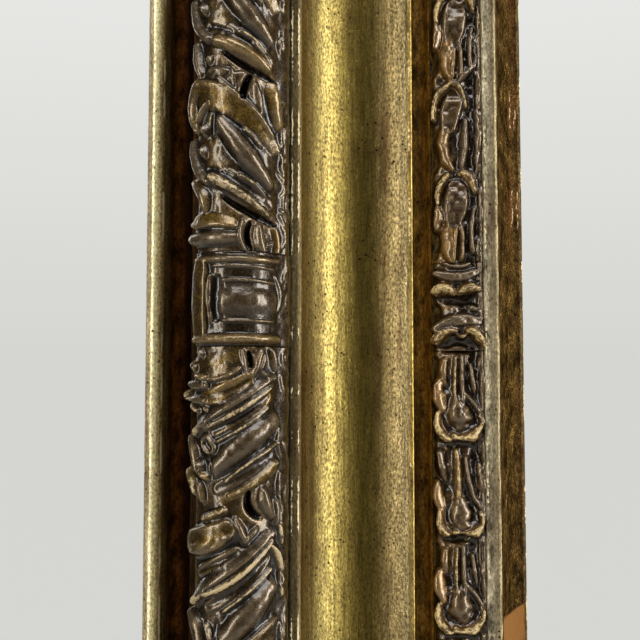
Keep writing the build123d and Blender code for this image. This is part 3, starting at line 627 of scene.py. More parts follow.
# The strap round the torus in the middle of each rail, along from its middle.
STRAP = chisel(
    (D, (0.07, 9.2, 0.50, 9.0, 0.93, 8.8), (1.1, 1.2, 1.0), (1.8, 2.0, 1.8), 0.3, 0.2),
    (D, (0.07, -9.3, 0.50, -9.2, 0.93, -9.3), (1.2, 1.5, 1.2), (2.3, 2.5, 2.3), 0.15, 0.35),
    (D, (0.24, 7.6, 0.60, 7.4, 0.90, 6.9), (0.3, 0.35, 0.3), (1.8, 1.9, 1.7), 0.5, 0.5),
    (F, (0.13, -7.8, 0.125, 0.0, 0.13, 7.4), (3.0, 3.2, 3.0), (2.1, 2.4, 2.1), 0.3, 0.2),
    (D, (0.235, 5.4, 0.225, 0.6, 0.245, -5.2), (0.35, 0.45, 0.35), (2.4, 2.6, 2.4), 0.7, 0.3),
    (B, (0.355, -0.4, 0.63, -0.4, 0.90, -0.5), (4.6, 4.6, 4.4), (1.2, 1.3, 1.2), 1.0),
    (D, (0.40, -0.5, 0.63, -0.6, 0.86, -0.7), (4.0, 4.2, 3.8), (2.2, 2.4, 2.0), 0.95),
    (D, (0.37, 4.2, 0.62, 4.2, 0.89, 3.6), (0.3, 0.35, 0.3), (2.2, 2.3, 2.2), 0.8, 0.5),
    (D, (0.37, -5.0, 0.62, -5.1, 0.89, -5.2), (0.3, 0.35, 0.3), (2.2, 2.3, 2.2), 0.8, 0.4),
    (D, (0.91, 5.2, 0.95, 1.4, 0.93, -2.6), (0.5, 0.7, 0.5), (1.7, 1.9, 1.7), 0.9, 0.3),
    (H, (0.305, 4.6, 0.30, 0.0, 0.305, -4.4), (1.2, 1.4, 1.2), (0.3, 0.1, 0.3)),
)

# One leg of the acanthus leaf over a corner, along from the end of the leaf run.
CORNER = chisel(
    (D, (0.02, 1.8, 0.5, 1.6, 0.98, 1.6), (1.1, 1.3, 1.1), (2.4, 2.6, 2.4), 0.3, 0.3),
    (D, (0.05, 62.0, 0.40, 52.0, 1.0, 34.5), (2.2, 2.6, 1.6), (2.7, 3.0, 2.6), 0.5, 0.25),
    (G, (0.10, 54.0, 0.07, 38.0, 0.14, 22.0), (2.6, 3.6, 1.4), (2.6, 2.9, 2.2), 0.3, 0.1),
    (G, (0.34, 50.0, 0.30, 32.0, 0.36, 12.0), (2.4, 3.8, 1.4), (2.7, 3.0, 2.3), 0.9, 0.05),
    (G, (0.60, 44.0, 0.58, 26.0, 0.62, 6.0), (2.2, 3.6, 1.4), (2.7, 3.0, 2.3), 0.6, 0.1),
    (G, (0.86, 36.0, 0.86, 22.0, 0.88, 9.0), (1.9, 3.0, 1.3), (2.4, 2.7, 2.1), 0.8, 0.1),
    (D, (0.30, 49.0, 0.27, 32.0, 0.36, 12.0), (0.35, 0.45, 0.35), (2.9, 3.1, 2.5), 0.5, 0.6),
    (D, (0.57, 43.0, 0.55, 26.0, 0.62, 6.0), (0.35, 0.45, 0.35), (2.9, 3.1, 2.5), 0.5, 0.6),
    (C, (0.10, 17.0, 0.16, 11.0, 0.14, 5.0), (1.4, 2.2, 1.2), (2.2, 2.5, 2.0), 0.2, 0.1),
    (D, (0.40, 8.0, 0.48, 6.4, 0.50, 4.6), (0.9, 1.4, 0.9), (2.0, 2.4, 2.0), 0.1),
    (D, (0.74, 8.4, 0.78, 6.4, 0.80, 4.6), (0.9, 1.3, 0.9), (2.0, 2.3, 2.0), 0.4),
    (H, (0.21, 42.0, 0.19, 34.0, 0.22, 26.0), (0.6, 1.0, 0.6), (-0.6, -1.4, -0.6)),
    (H, (0.45, 38.0, 0.44, 29.0, 0.47, 20.0), (0.6, 1.0, 0.6), (-0.6, -1.4, -0.6)),
    (H, (0.73, 33.0, 0.72, 24.0, 0.74, 15.0), (0.6, 1.0, 0.6), (-0.6, -1.4, -0.6)),
)

# Two units of the husk chain, along from the knot outwards. A share of 0 is the groove side of the husk bed.
HUSK_FIRST = chisel(
    (D, (0.22, 2.4, 0.21, 5.2, 0.24, 8.0), (1.2, 1.7, 1.2), (3.4, 3.9, 3.3), 0.2),
    (D, (0.14, 7.6, 0.12, 11.0, 0.20, 14.8), (1.5, 2.1, 1.5), (3.6, 4.2, 3.6), 0.0),
    (D, (0.43, 1.6, 0.41, 7.0, 0.42, 13.4), (0.5, 0.65, 0.5), (4.8, 5.1, 4.7), 0.3, 0.55),
    (D, (0.55, 1.4, 0.55, 7.0, 0.58, 13.0), (1.1, 1.3, 1.1), (4.6, 4.9, 4.5), 1.0),
    (D, (0.72, 3.4, 0.76, 7.2, 0.80, 10.8), (0.9, 1.3, 0.9), (4.0, 4.4, 3.9), 0.7, 0.2),
    (D, (0.93, 5.8, 0.94, 9.6, 0.93, 13.2), (1.0, 1.6, 1.0), (4.0, 4.6, 4.0), 0.8, 0.35),
    (D, (0.58, 10.4, 0.80, 13.6, 0.97, 17.6), (1.0, 1.2, 1.0), (4.6, 4.7, 4.4), 0.9),
    (D, (0.97, 15.6, 1.0, 19.0, 0.99, 22.6), (0.8, 1.1, 0.8), (4.4, 4.8, 4.4), 0.9, 0.2),
    (D, (0.46, 12.6, 0.50, 15.8, 0.54, 18.4), (3.0, 4.6, 4.0), (4.4, 5.2, 4.6), 0.5),
    (D, (0.13, 15.4, 0.14, 19.6, 0.32, 22.4), (0.8, 1.1, 1.2), (4.8, 5.6, 5.9), 0.2, 0.55),
    (D, (0.40, 21.4, 0.60, 22.0, 0.84, 19.8), (1.6, 2.3, 1.8), (6.0, 6.9, 6.2), 0.15, 0.55),
    (D, (0.84, 19.8, 0.92, 17.8, 0.85, 16.0), (1.3, 1.0, 0.5), (6.0, 5.6, 4.8), 0.2, 0.55),
    (H, (0.24, -0.2, 0.50, -0.6, 0.80, 0.0), (1.2, 1.7, 1.1), (1.8, 1.2, 1.8)),
    (H, (0.05, 1.8, 0.05, 3.6, 0.07, 5.4), (0.9, 1.3, 0.9), (0.2, 0.0, 0.2)),
)

HUSK_SECOND = chisel(
    (D, (0.14, 1.8, 0.18, 5.2, 0.24, 8.6), (1.2, 1.7, 1.2), (3.4, 3.9, 3.4), 0.7, 0.1),
    (D, (0.08, 9.2, 0.11, 12.8, 0.18, 16.8), (1.5, 2.0, 1.4), (3.4, 4.0, 3.4), 0.0),
    (D, (0.43, 1.4, 0.45, 7.4, 0.46, 12.4), (0.9, 1.4, 1.2), (5.0, 5.8, 5.4), 0.1, 0.5),
    (D, (0.60, 3.0, 0.67, 9.2, 0.79, 13.8), (1.0, 1.3, 1.1), (4.5, 5.0, 4.7), 1.0),
    (D, (0.79, 13.4, 0.93, 16.2, 1.0, 19.2), (1.1, 1.2, 0.9), (4.7, 4.7, 4.4), 0.9, 0.2),
    (D, (0.86, 4.6, 0.92, 9.6, 0.95, 14.6), (1.2, 1.8, 1.2), (3.8, 4.4, 3.8), 0.25),
    (D, (0.48, 13.6, 0.52, 16.8, 0.56, 19.2), (2.8, 4.4, 3.8), (4.3, 5.0, 4.5), 0.45),
    (D, (0.15, 16.2, 0.17, 20.2, 0.34, 22.8), (0.9, 1.2, 1.3), (4.8, 5.6, 5.9), 0.2, 0.5),
    (D, (0.40, 21.8, 0.62, 22.4, 0.86, 20.2), (1.5, 2.2, 1.7), (6.0, 6.8, 6.2), 0.2, 0.55),
    (D, (0.86, 20.2, 0.92, 18.2, 0.86, 16.4), (1.2, 1.0, 0.6), (6.0, 5.5, 4.8), 0.2, 0.5),
    (H, (0.20, 0.0, 0.50, -0.4, 0.80, 0.2), (0.9, 1.2, 0.9), (2.2, 1.6, 2.2)),
    (H, (0.04, 3.2, 0.05, 5.6, 0.06, 8.0), (0.9, 1.2, 0.9), (0.2, 0.0, 0.2)),
)

# The same two units above the knot, where the cups open downwards.
HUSK_THIRD = chisel(
    (D, (0.38, 0.8, 0.34, 5.4, 0.36, 10.6), (1.9, 3.0, 2.4), (4.2, 4.6, 4.2), 0.1),
    (D, (0.43, 0.6, 0.44, 4.4, 0.47, 8.2), (0.35, 0.5, 0.4), (5.0, 5.3, 5.1), 0.1, 0.3),
    (D, (0.56, 0.8, 0.60, 4.4, 0.56, 9.4), (0.9, 1.4, 0.9), (4.4, 4.9, 4.4), 0.3),
    (F, (0.42, 10.6, 0.46, 14.4, 0.48, 18.4), (2.7, 3.7, 3.3), (4.4, 4.9, 4.4), 0.6),
    (D, (0.12, 8.4, 0.16, 11.6, 0.14, 14.6), (1.1, 1.6, 1.0), (3.8, 4.4, 3.8), 0.2, 0.2),
    (D, (0.15, 14.8, 0.17, 18.8, 0.31, 22.0), (0.7, 0.9, 1.2), (4.9, 5.5, 5.9), 0.2, 0.55),
    (D, (0.54, 22.2, 0.70, 21.6, 0.83, 17.6), (1.1, 1.9, 0.9), (5.6, 6.6, 5.2), 0.15, 0.55),
    (D, (0.80, 2.6, 0.75, 7.4, 0.82, 13.4), (1.1, 1.5, 1.1), (4.4, 4.9, 4.4), 1.0),
    (D, (0.92, 8.6, 0.95, 13.6, 0.94, 19.4), (1.0, 1.5, 1.0), (4.0, 4.5, 4.0), 0.8, 0.3),
    (H, (0.66, 2.2, 0.67, 5.6, 0.69, 9.2), (0.5, 0.8, 0.5), (2.4, 1.8, 2.4)),
    (H, (0.05, 2.0, 0.07, 4.6, 0.06, 7.0), (1.3, 1.9, 1.3), (0.2, 0.0, 0.2)),
)

HUSK_FOURTH = chisel(
    (D, (0.40, 0.4, 0.25, 4.8, 0.30, 10.8), (1.4, 2.3, 2.0), (4.6, 4.4, 4.3), 0.1, 0.1),
    (F, (0.34, 11.2, 0.39, 15.2, 0.45, 18.8), (2.3, 3.1, 2.8), (4.3, 4.8, 4.3), 0.45),
    (D, (0.10, 12.8, 0.14, 18.4, 0.29, 21.2), (0.7, 0.9, 1.2), (4.8, 5.5, 5.8), 0.2, 0.5),
    (D, (0.31, 21.6, 0.53, 21.2, 0.67, 16.2), (1.1, 1.3, 0.7), (5.8, 6.1, 4.9), 0.2, 0.5),
    (D, (0.58, 0.8, 0.64, 6.4, 0.66, 13.0), (1.3, 1.7, 1.2), (4.6, 5.0, 4.5), 1.0),
    (D, (0.54, 22.8, 0.66, 24.6, 0.84, 26.6), (1.0, 1.4, 1.1), (4.6, 5.0, 4.6), 0.9, 0.2),
    (D, (0.85, 1.8, 0.91, 8.0, 0.88, 15.0), (1.1, 1.7, 1.2), (4.0, 4.6, 4.1), 0.9),
    (H, (0.47, 2.4, 0.50, 6.2, 0.51, 10.6), (0.4, 0.6, 0.4), (2.4, 1.8, 2.4)),
    (H, (0.05, 0.2, 0.07, 3.2, 0.06, 6.2), (1.3, 1.9, 1.3), (0.2, 0.0, 0.2)),
)

KNOT = chisel(
    (F, (0.13, 8.2, 0.46, 7.3, 0.84, 8.6), (1.1, 1.4, 1.1), (4.8, 5.6, 4.8), 1.0),
    (D, (0.12, 3.8, 0.24, 4.4, 0.40, 3.4), (1.5, 2.1, 1.2), (5.6, 6.6, 5.4), 0.1, 0.6),
    (D, (0.50, 3.4, 0.68, 4.5, 0.88, 4.6), (1.2, 2.0, 1.5), (5.4, 6.6, 5.6), 0.2, 0.5),
    (D, (0.36, 0.4, 0.42, -0.8, 0.46, -2.2), (1.8, 2.4, 1.8), (3.2, 3.8, 3.2), 0.8),
    (D, (0.66, 0.6, 0.78, -0.4, 0.90, -1.0), (1.2, 1.7, 1.2), (3.6, 4.4, 4.0), 0.9, 0.2),
    (H, (0.30, 1.2, 0.52, 1.4, 0.76, 1.2), (0.9, 1.3, 0.9), (1.9, 1.5, 1.9)),
    (H, (0.04, 0.6, 0.07, -1.2, 0.10, -3.0), (1.3, 1.9, 1.3), (0.2, 0.0, 0.2)),
    (F, (0.13, -5.6, 0.42, -3.6, 0.86, -3.6), (1.3, 1.8, 1.4), (4.8, 5.6, 4.8), 1.0),
    (D, (0.10, -8.6, 0.24, -6.3, 0.42, -6.2), (1.3, 1.6, 1.2), (5.6, 6.6, 5.8), 0.2, 0.5),
    (D, (0.48, -7.2, 0.56, -7.6, 0.64, -7.0), (0.7, 0.8, 0.5), (5.6, 5.8, 5.6), 0.3, 0.4),
    (D, (0.68, -6.0, 0.84, -7.0, 0.98, -10.0), (1.5, 1.9, 1.2), (5.8, 6.8, 5.4), 0.15, 0.55),
    (H, (0.28, -9.8, 0.50, -8.9, 0.74, -9.6), (0.9, 1.2, 0.9), (1.8, 1.4, 1.8)),
    (D, (0.24, 10.8, 0.50, 9.9, 0.72, 10.8), (0.9, 1.2, 0.9), (3.8, 4.2, 3.8), 0.5),
)

SIGHT_LEAF = chisel(
    (D, (0.05, 26.6, 0.5, 20.4, 1.0, 13.6), (1.3, 1.7, 1.2), (5.6, 6.4, 5.2), 0.3, 0.4),
    (G, (0.16, 20.0, 0.20, 12.0, 0.34, 3.6), (1.7, 2.4, 1.0), (4.6, 5.4, 4.2), 0.4, 0.1),
    (G, (0.60, 16.0, 0.60, 10.0, 0.62, 2.6), (1.7, 2.3, 1.0), (4.8, 5.6, 4.2), 0.8, 0.1),
    (D, (0.36, 2.4, 0.50, 1.6, 0.66, 2.4), (0.9, 1.2, 0.9), (4.8, 5.4, 4.8), 0.1, 0.5),
    (H, (0.40, 15.0, 0.42, 11.0, 0.45, 7.0), (0.5, 0.7, 0.5), (1.6, 1.2, 1.6)),
)

# The two units of each half of a rail, by the way that they run.
LEAF_RUNS = {1: (UPPER_FIRST, UPPER_SECOND), -1: (LOWER_FIRST, LOWER_SECOND)}
HUSK_RUNS = {1: (HUSK_THIRD, HUSK_FOURTH), -1: (HUSK_FIRST, HUSK_SECOND)}


def add_node(tree: bpy.types.NodeTree, kind: str, values: dict | None = None,
             out: int | str = 0) -> bpy.types.NodeSocket | None:
    """Adds one node with its settings and links.

    Args:
        tree: The node tree.
        kind: The node's type, without the words that all types start with.
        values: Values, and the sockets that feed it, by input name or number, or by the node's own setting.
            Stops fills a colour ramp.
        out: The name or number of the output to give.

    Returns:
        The output, where the node has one.
    """
    node = tree.nodes.new(f"ShaderNode{kind}")
    for key, value in (values or {}).items():
        if key == "stops":
            points = node.color_ramp.elements
            while len(points) < len(value):
                points.new(0.5)
            for point, (place, code) in zip(points, value):
                point.position = place
                point.color = linear(code)
        elif isinstance(value, bpy.types.NodeSocket):
            tree.links.new(value, node.inputs[key])
        elif isinstance(key, int) or (key in node.inputs and not hasattr(node, key)):
            node.inputs[key].default_value = value
        else:
            setattr(node, key, value)
    return node.outputs[out] if node.outputs else None


def new_material(name: str) -> tuple:
    """Makes an empty node material.

    Args:
        name: The material's name.

    Returns:
        The material, and the function that adds a node to it.
    """
    material = bpy.data.materials.new(name)
    material.use_nodes = True
    material.node_tree.nodes.clear()
    return material, partial(add_node, material.node_tree)


@dataclass(frozen=True)
class CarvedGilding:
    """Old oil gilding on gessoed carving: dull grey-brown leaf under dark varnish, that shines on the ridges.

    Dirt and painted shade darken the hollows, warm size shows beside them, the ridges are lightened by rubbed
    leaf and a painted highlight, and cream gesso shows where the ridges are rubbed.
    """

    name: str = "tarnished_oil_gilding"
    gold: str = "#6e551b"
    brown: str = "#34260d"
    grey: str = "#302310"
    amber: str = "#70500f"
    dirt_and_shade: str = "#0d0804"
    rubbed_and_highlight: str = "#937e60"
    gesso: str = "#a9956d"
    metal: float = 0.6
    varnish: float = 0.52
    mottle_mm: float = 2.6
    grain_mm: float = 0.45
    chip_mm: float = 1.1
    flow_mm: float = 1.5

    def make(self) -> bpy.types.Material:
        """Builds the material."""
        material, add = new_material(self.name)
        place = add("TexCoord", out="Object")
        hollow, crest, toned, worn = (
            add("Attribute", {"attribute_name": key}, "Fac") for key in ("hollow", "crest", "tone", "worn")
        )
        mottle, grain, chip, flow = (
            add("TexNoise", {"Scale": 1000 / size, "Detail": detail, "Roughness": rough, "Vector": place})
            for size, detail, rough in (
                (self.mottle_mm, 4.0, 0.6), (self.grain_mm, 3.0, 0.65),
                (self.chip_mm, 5.0, 0.7), (self.flow_mm, 2.0, 0.55),
            )
        )
        shift = add("Math", {"operation": "MULTIPLY_ADD", 0: mottle, 1: 0.9, 2: -0.45})
        tone = add("Math", {"operation": "ADD", "use_clamp": True, 0: toned, 1: shift})
        leaf = add("ValToRGB", {"stops": ((0.0, self.gold), (0.45, self.brown), (0.9, self.grey)), 0: tone})
        fleck = add("MapRange", {
            "From Min": 0.35, "From Max": 0.7, "To Min": 0.45, "To Max": 1.5, "Value": grain,
        })
        leaf = add("Mix", {"data_type": "RGBA", "blend_type": "MULTIPLY", 0: 1.0, 6: leaf, 7: fleck}, 2)
        # The size under the leaf glows warm beside the hollows, most where the leaf is golden.
        warm = add("MapRange", {"From Min": 0.75, "From Max": 0.1, "To Max": 0.8, "Value": tone})
        warm = add("Math", {"operation": "MULTIPLY", "use_clamp": True, 0: warm, 1: hollow})
        leaf = add("Mix", {"data_type": "RGBA", 0: warm, 6: leaf, 7: linear(self.amber)}, 2)
        # Painted highlight: the ridges are lightened towards a pale colour, partly rubbed leaf and partly
        # painted highlight.
        lift = add("Math", {"operation": "MULTIPLY", 0: crest, 1: 0.3})
        leaf = add("Mix", {"data_type": "RGBA", 0: lift, 6: leaf, 7: linear(self.rubbed_and_highlight)}, 2)
        # Painted shade: the hollows are pulled towards a near-black colour, partly real dirt and partly painted
        # shade.
        dark = add("MapRange", {"From Min": 0.1, "From Max": 0.55, "To Max": 0.97, "Value": hollow})
        leaf = add("Mix", {"data_type": "RGBA", 0: dark, 6: leaf, 7: linear(self.dirt_and_shade)}, 2)
        # Gesso shows where wear, ridges and chips meet.
        edge = add("Math", {"operation": "MULTIPLY", 0: crest, 1: 0.2})
        edge = add("Math", {"operation": "MULTIPLY_ADD", 0: worn, 1: 0.75, 2: edge})
        bare = add("Math", {"operation": "MULTIPLY_ADD", 0: chip, 1: 1.5, 2: edge})
        bare = add("MapRange", {"From Min": 1.32, "From Max": 1.42, "Value": bare})
        colour = add("Mix", {"data_type": "RGBA", 0: bare, 6: leaf, 7: linear(self.gesso)}, 2)
        kept = add("Math", {"operation": "SUBTRACT", 0: 1.0, 1: bare})
        metal = add("Math", {"operation": "MULTIPLY", 0: kept, 1: self.metal})
        rough = add("MapRange", {
            "From Min": 0.3, "From Max": 0.7, "To Min": 0.2, "To Max": 0.42, "Value": grain,
        })
        rough = add("Math", {"operation": "MULTIPLY_ADD", "use_clamp": True, 0: bare, 1: 0.35, 2: rough})
        fine = add("Bump", {"Strength": 0.35, "Distance": 0.00012, "Height": grain})
        pitted = add("Bump", {"Strength": 0.3, "Distance": 0.00025, "Height": chip, "Normal": fine})
        runny = add("Bump", {"Strength": 0.35, "Distance": 0.00035, "Height": flow})
        shader = add("BsdfPrincipled", {
            "Base Color": colour, "Metallic": metal, "Roughness": rough, "Normal": pitted,
            "Coat Weight": self.varnish, "Coat Roughness": 0.13, "Coat Normal": runny,
        })
        add("OutputMaterial", {"Surface": shader})
        return material


@dataclass(frozen=True)
class RailGilding:
    """Water gilding over bole on a run moulding: burnished cove, grooves toned brown and darkened with painted
    shade, rubbed lips lightened with painted highlights.

    Fine streaks run with the rail, as the scraper and the burnisher left them, with pinholes and brown
    toning, which also stand in for dark smudged reflections in the cove as painted reflection. Each table gives
    values by the distance from the outer edge: the leaf's colour with painted highlights, shade and reflection
    laid into it, its share of metal, and how blotched the toning is.
    """

    name: str = "burnished_water_gilding"
    streak_mm: float = 0.8
    patch_mm: float = 16.0
    pinhole_mm: float = 2.0
    crack_mm: float = 5.0
    grain_mm: float = 1 / 2.2
    stain_mm: float = 2.6
    bole: str = "#3a2210"
    dirt_and_shade: str = "#160d05"
    gesso: str = "#dccb9f"
    wood: str = "#80582f"
    edge_on: str = "#bfa274"
    # Painted light in the colour table: the near-white stops on the bead (2.2 to 4.9) are a painted highlight;
    # the groove darkens towards the torus (8.0 to 9.5) partly as dark varnish and partly as painted shade; the
    # cove's stops go lighter and darker band by band, darkest in its middle (54.0 to 57.0) as a painted dark
    # reflection; the pale stops at the arrises and lips (38.8, 65.8, 87.9, 95.2) are partly rubbed gilding and
    # partly painted highlights.
    colours_and_painted_light: tuple = (
        (0.0, "#8a7c60"), (1.9, "#ab9b7c"), (2.2, "#fff6c4"), (4.9, "#f4d080"), (5.8, "#7a4f18"),
        (8.0, "#5a3110"), (9.5, "#1c0d04"), (36.0, "#231c11"), (36.6, "#463d2a"), (38.6, "#53472e"),
        (38.8, "#a39670"), (39.3, "#76643a"), (44.8, "#867846"), (47.4, "#82733f"), (50.5, "#7f6d36"),
        (54.0, "#5e4f22"), (57.0, "#625328"), (59.5, "#796842"), (65.2, "#746749"), (65.8, "#b39a58"),
        (66.9, "#a88a48"), (67.6, "#6a5020"), (71.6, "#7a5820"), (72.2, "#3c280f"), (84.8, "#8a826c"),
        (85.8, "#776e5a"), (87.4, "#766a4f"), (87.9, "#b3a683"), (88.5, "#7c6036"), (90.6, "#3a2b12"),
        (94.6, "#1c1307"), (95.2, "#4a3b22"),
    )
    gilded: tuple = (
        (0.0, 0.1), (1.9, 0.1), (2.3, 0.8), (4.9, 0.8), (6.0, 0.7), (36.4, 0.5), (38.9, 0.3), (39.4, 0.9),
        (66.8, 0.85), (67.6, 0.35), (84.6, 0.3), (85.0, 0.5), (88.0, 0.5), (88.6, 0.95), (94.8, 0.95),
        (95.4, 0.5), (96.0, 0.3),
    )
    stained: tuple = (
        (0.0, 0.2), (4.9, 0.1), (6.0, 1.0), (36.3, 1.0), (36.6, 0.4), (38.7, 0.3), (39.4, 0.1), (66.8, 0.25),
        (67.6, 1.0), (84.6, 1.0), (85.8, 1.0), (86.0, 0.3), (88.2, 0.3), (88.6, 1.0), (94.8, 1.0),
        (95.4, 0.4),
    )

    def make(self) -> bpy.types.Material:
        """Builds the material."""
        material, add = new_material(self.name)
        across, girth, along, raw, edge = (
            add("Attribute", {"attribute_name": key}, "Fac")
            for key in ("across", "girth", "along", "raw", "edge")
        )
        # The patterns lie on the unrolled section, some of them drawn out along the rail.
        streaked, drawn = (
            add("CombineXYZ", {0: girth, 1: add("Math", {"operation": "MULTIPLY", 0: along, 1: stretch})})
            for stretch in (0.06, 0.45)
        )
        flat = add("CombineXYZ", {0: girth, 1: along})
        streak, patch, grain, stain = (
            add("TexNoise", {"Scale": 1 / size, "Detail": detail, "Roughness": rough, "Vector": place})
            for size, detail, rough, place in (
                (self.streak_mm, 4.0, 0.65, streaked), (self.patch_mm, 5.0, 0.6, flat),
                (self.grain_mm, 3.0, 0.7, drawn), (self.stain_mm, 5.0, 0.7, drawn),
            )
        )
        band = add("TexNoise", {"Scale": 0.2 / self.streak_mm, "Detail": 2.0, "Vector": streaked})
        hole = add("TexVoronoi", {"Scale": 1 / self.pinhole_mm, "Vector": flat}, "Distance")
        bent = add("Math", {"operation": "MULTIPLY_ADD", 0: grain, 1: 2.5, 2: girth})
        crack = add("TexVoronoi", {
            "feature": "DISTANCE_TO_EDGE", "Scale": 1 / self.crack_mm,
            "Vector": add("CombineXYZ", {0: bent, 1: along}),
        }, "Distance")
        wide = LAYOUT.rail_width
        share = add("Math", {"operation": "DIVIDE", 0: across, 1: wide})
        colour = add("ValToRGB", {"stops": tuple((u / wide, code) for u, code in self.colours_and_painted_light), 0: share})
        metal, stained = (
            add("ValToRGB", {"stops": tuple((u / wide, grey(g)) for u, g in table), 0: share})
            for table in (self.gilded, self.stained)
        )
        tint = add("MapRange", {
            "From Min": 0.3, "From Max": 0.7, "To Min": 0.55, "To Max": 1.36, "Value": streak,
        })
        fleck = add("MapRange", {
            "From Min": 0.35, "From Max": 0.65, "To Min": 0.42, "To Max": 1.5, "Value": grain,
        })
        blot = add("MapRange", {
            "From Min": 0.38, "From Max": 0.64, "To Min": 0.3, "To Max": 2.2, "Value": stain,
        })
        for mask, shade in ((1.0, tint), (1.0, fleck), (stained, blot)):
            mix = {"data_type": "RGBA", "blend_type": "MULTIPLY", 0: mask, 6: colour, 7: shade}
            colour = add("Mix", mix, 2)
        # Painted reflection: the bole toning patches and the pinhole dots are partly real toning and pinholes
        # and partly stand in for the dark smudged reflections in the cove; the pinholes take the colour of dirt
        # and painted shade.
        toned = add("Math", {"operation": "MULTIPLY_ADD", 0: patch, 1: 0.6, 2: band})
        toned = add("MapRange", {"From Min": 0.82, "From Max": 1.04, "To Max": 0.62, "Value": toned})
        dots = add("MapRange", {"From Min": 0.2, "From Max": 0.1, "Value": hole})
        dotted = add("MapRange", {"From Min": 0.46, "From Max": 0.58, "Value": patch})
        dots = add("Math", {"operation": "MULTIPLY", "use_clamp": True, 0: dots, 1: dotted})
        # Bare gesso along the marked edges: partly rubbed gilding and flakes, partly painted highlight lines
        # along the arrises.
        bare = add("Math", {"operation": "MULTIPLY_ADD", 0: grain, 1: 1.6, 2: edge})
        bare = add("MapRange", {"From Min": 1.5, "From Max": 1.62, "Value": bare})
        for mask, code in ((toned, self.bole), (dots, self.dirt_and_shade), (bare, self.gesso), (raw, self.wood)):
            colour = add("Mix", {"data_type": "RGBA", 0: mask, 6: colour, 7: linear(code)}, 2)
        kept = add("Math", {"operation": "MAXIMUM", 0: bare, 1: raw})
        kept = add("Math", {"operation": "SUBTRACT", 0: 1.0, 1: kept})
        metal = add("Math", {"operation": "MULTIPLY", 0: metal, 1: kept})
        rough = add("MapRange", {
            "From Min": 0.3, "From Max": 0.7, "To Min": 0.52, "To Max": 0.28, "Value": grain,
        })
        rough = add("Math", {"operation": "MULTIPLY_ADD", "use_clamp": True, 0: 0.4, 1: raw, 2: rough})
        rough = add("Math", {"operation": "ADD", "use_clamp": True, 0: rough, 1: 0.38})
        rough = add("Math", {"operation": "MULTIPLY_ADD", 0: metal, 1: -0.42, 2: rough})
        lines = add("Bump", {"Strength": 0.25, "Distance": 0.00015, "Height": streak})
        pits = add("Bump", {"Strength": 0.3, "Distance": 0.0002, "Height": grain, "Normal": lines})
        crusted = add("Math", {"operation": "MULTIPLY", 0: stained, 1: 0.7})
        pits = add("Bump", {"Distance": 0.0007, "Strength": crusted, "Height": stain, "Normal": pits})
        cracks = add("MapRange", {"From Max": 0.05, "Value": crack})
        pits = add("Bump", {"Strength": 0.12, "Distance": 0.0002, "Height": cracks, "Normal": pits})
        shader = add("BsdfPrincipled", {
            "Base Color": colour, "Metallic": metal, "Roughness": rough, "Normal": pits,
            "Specular Tint": linear(self.edge_on),
        })
        add("OutputMaterial", {"Surface": shader})
        return material


@dataclass(frozen=True)
class Timber:
    """Planed and oiled wood, aged: straight grain with darker late wood, matt, and dirty in its pores."""

    name: str
    light: str
    dark: str
    ring_mm: float = 2.8
    roughness: float = 0.68
    grain: tuple = (1.0, 1.0, 0.05)
    soiled: str = "#352718"
    wave_mm: float = 25.0
    pore_mm: float = 1 / 0.9
    soil_mm: float = 1000 / 14

    def make(self) -> bpy.types.Material:
        """Builds the material."""
        material, add = new_material(self.name)
        place = add("TexCoord", out="Object")
        drawn = add("Mapping", {"Scale": self.grain, "Vector": place})
        warp = add("TexNoise", {"Scale": 1000 / self.wave_mm, "Detail": 3.0, "Vector": drawn})
        rings = add("TexWave", {
            "bands_direction": "DIAGONAL", "Scale": 0.15 / (self.ring_mm * MM), "Distortion": 4.0,
            "Detail": 3.0, "Vector": drawn,
        }, "Fac")
        pores = add("TexNoise", {"Scale": 1000 / self.pore_mm, "Detail": 2.0, "Vector": drawn})
        mixed = add("Math", {"operation": "MULTIPLY_ADD", 0: rings, 1: 0.5, 2: warp})
        mixed = add("Math", {"operation": "MULTIPLY_ADD", 0: pores, 1: 0.35, 2: mixed})
        colour = add("ValToRGB", {"stops": ((0.3, self.dark), (1.0, self.light)), 0: mixed})
        soil = add("TexNoise", {
            "Scale": 1000 / self.soil_mm, "Detail": 6.0, "Roughness": 0.65, "Vector": place,
        })
        soil = add("MapRange", {"From Min": 0.44, "From Max": 0.72, "To Max": 0.65, "Value": soil})
        colour = add("Mix", {"data_type": "RGBA", 0: soil, 6: colour, 7: linear(self.soiled)}, 2)
        bump = add("Bump", {"Strength": 0.3, "Distance": 0.0002, "Height": pores})
        shader = add("BsdfPrincipled", {"Roughness": self.roughness, "Base Color": colour, "Normal": bump})
        add("OutputMaterial", {"Surface": shader})
        return material


@dataclass(frozen=True)
class WornMetal:
    """Stamped or drawn metal hardware, dulled by handling: mottled tarnish and scuffs that scatter light."""

    name: str
    bright: str
    tarnish: str
    roughness: float = 0.36
    mottle_mm: float = 3.5
    scuff_mm: float = 0.4

    def make(self) -> bpy.types.Material:
        """Builds the material."""
        material, add = new_material(self.name)
        place = add("TexCoord", out="Object")
        mottle = add("TexNoise", {
            "Scale": 1000 / self.mottle_mm, "Detail": 5.0, "Roughness": 0.65, "Vector": place,
        })
        scuff = add("TexNoise", {"Scale": 1000 / self.scuff_mm, "Detail": 2.0, "Vector": place})
        colour = add("ValToRGB", {"stops": ((0.38, self.tarnish), (0.62, self.bright)), 0: mottle})
        rough = add("MapRange", {
            "From Min": 0.3, "From Max": 0.7, "To Min": self.roughness + 0.15,
            "To Max": self.roughness - 0.08, "Value": mottle,
        })
        bump = add("Bump", {"Strength": 0.2, "Distance": 0.0001, "Height": scuff})
        shader = add("BsdfPrincipled", {
            "Metallic": 1.0, "Base Color": colour, "Roughness": rough, "Normal": bump,
        })
        add("OutputMaterial", {"Surface": shader})
        return material


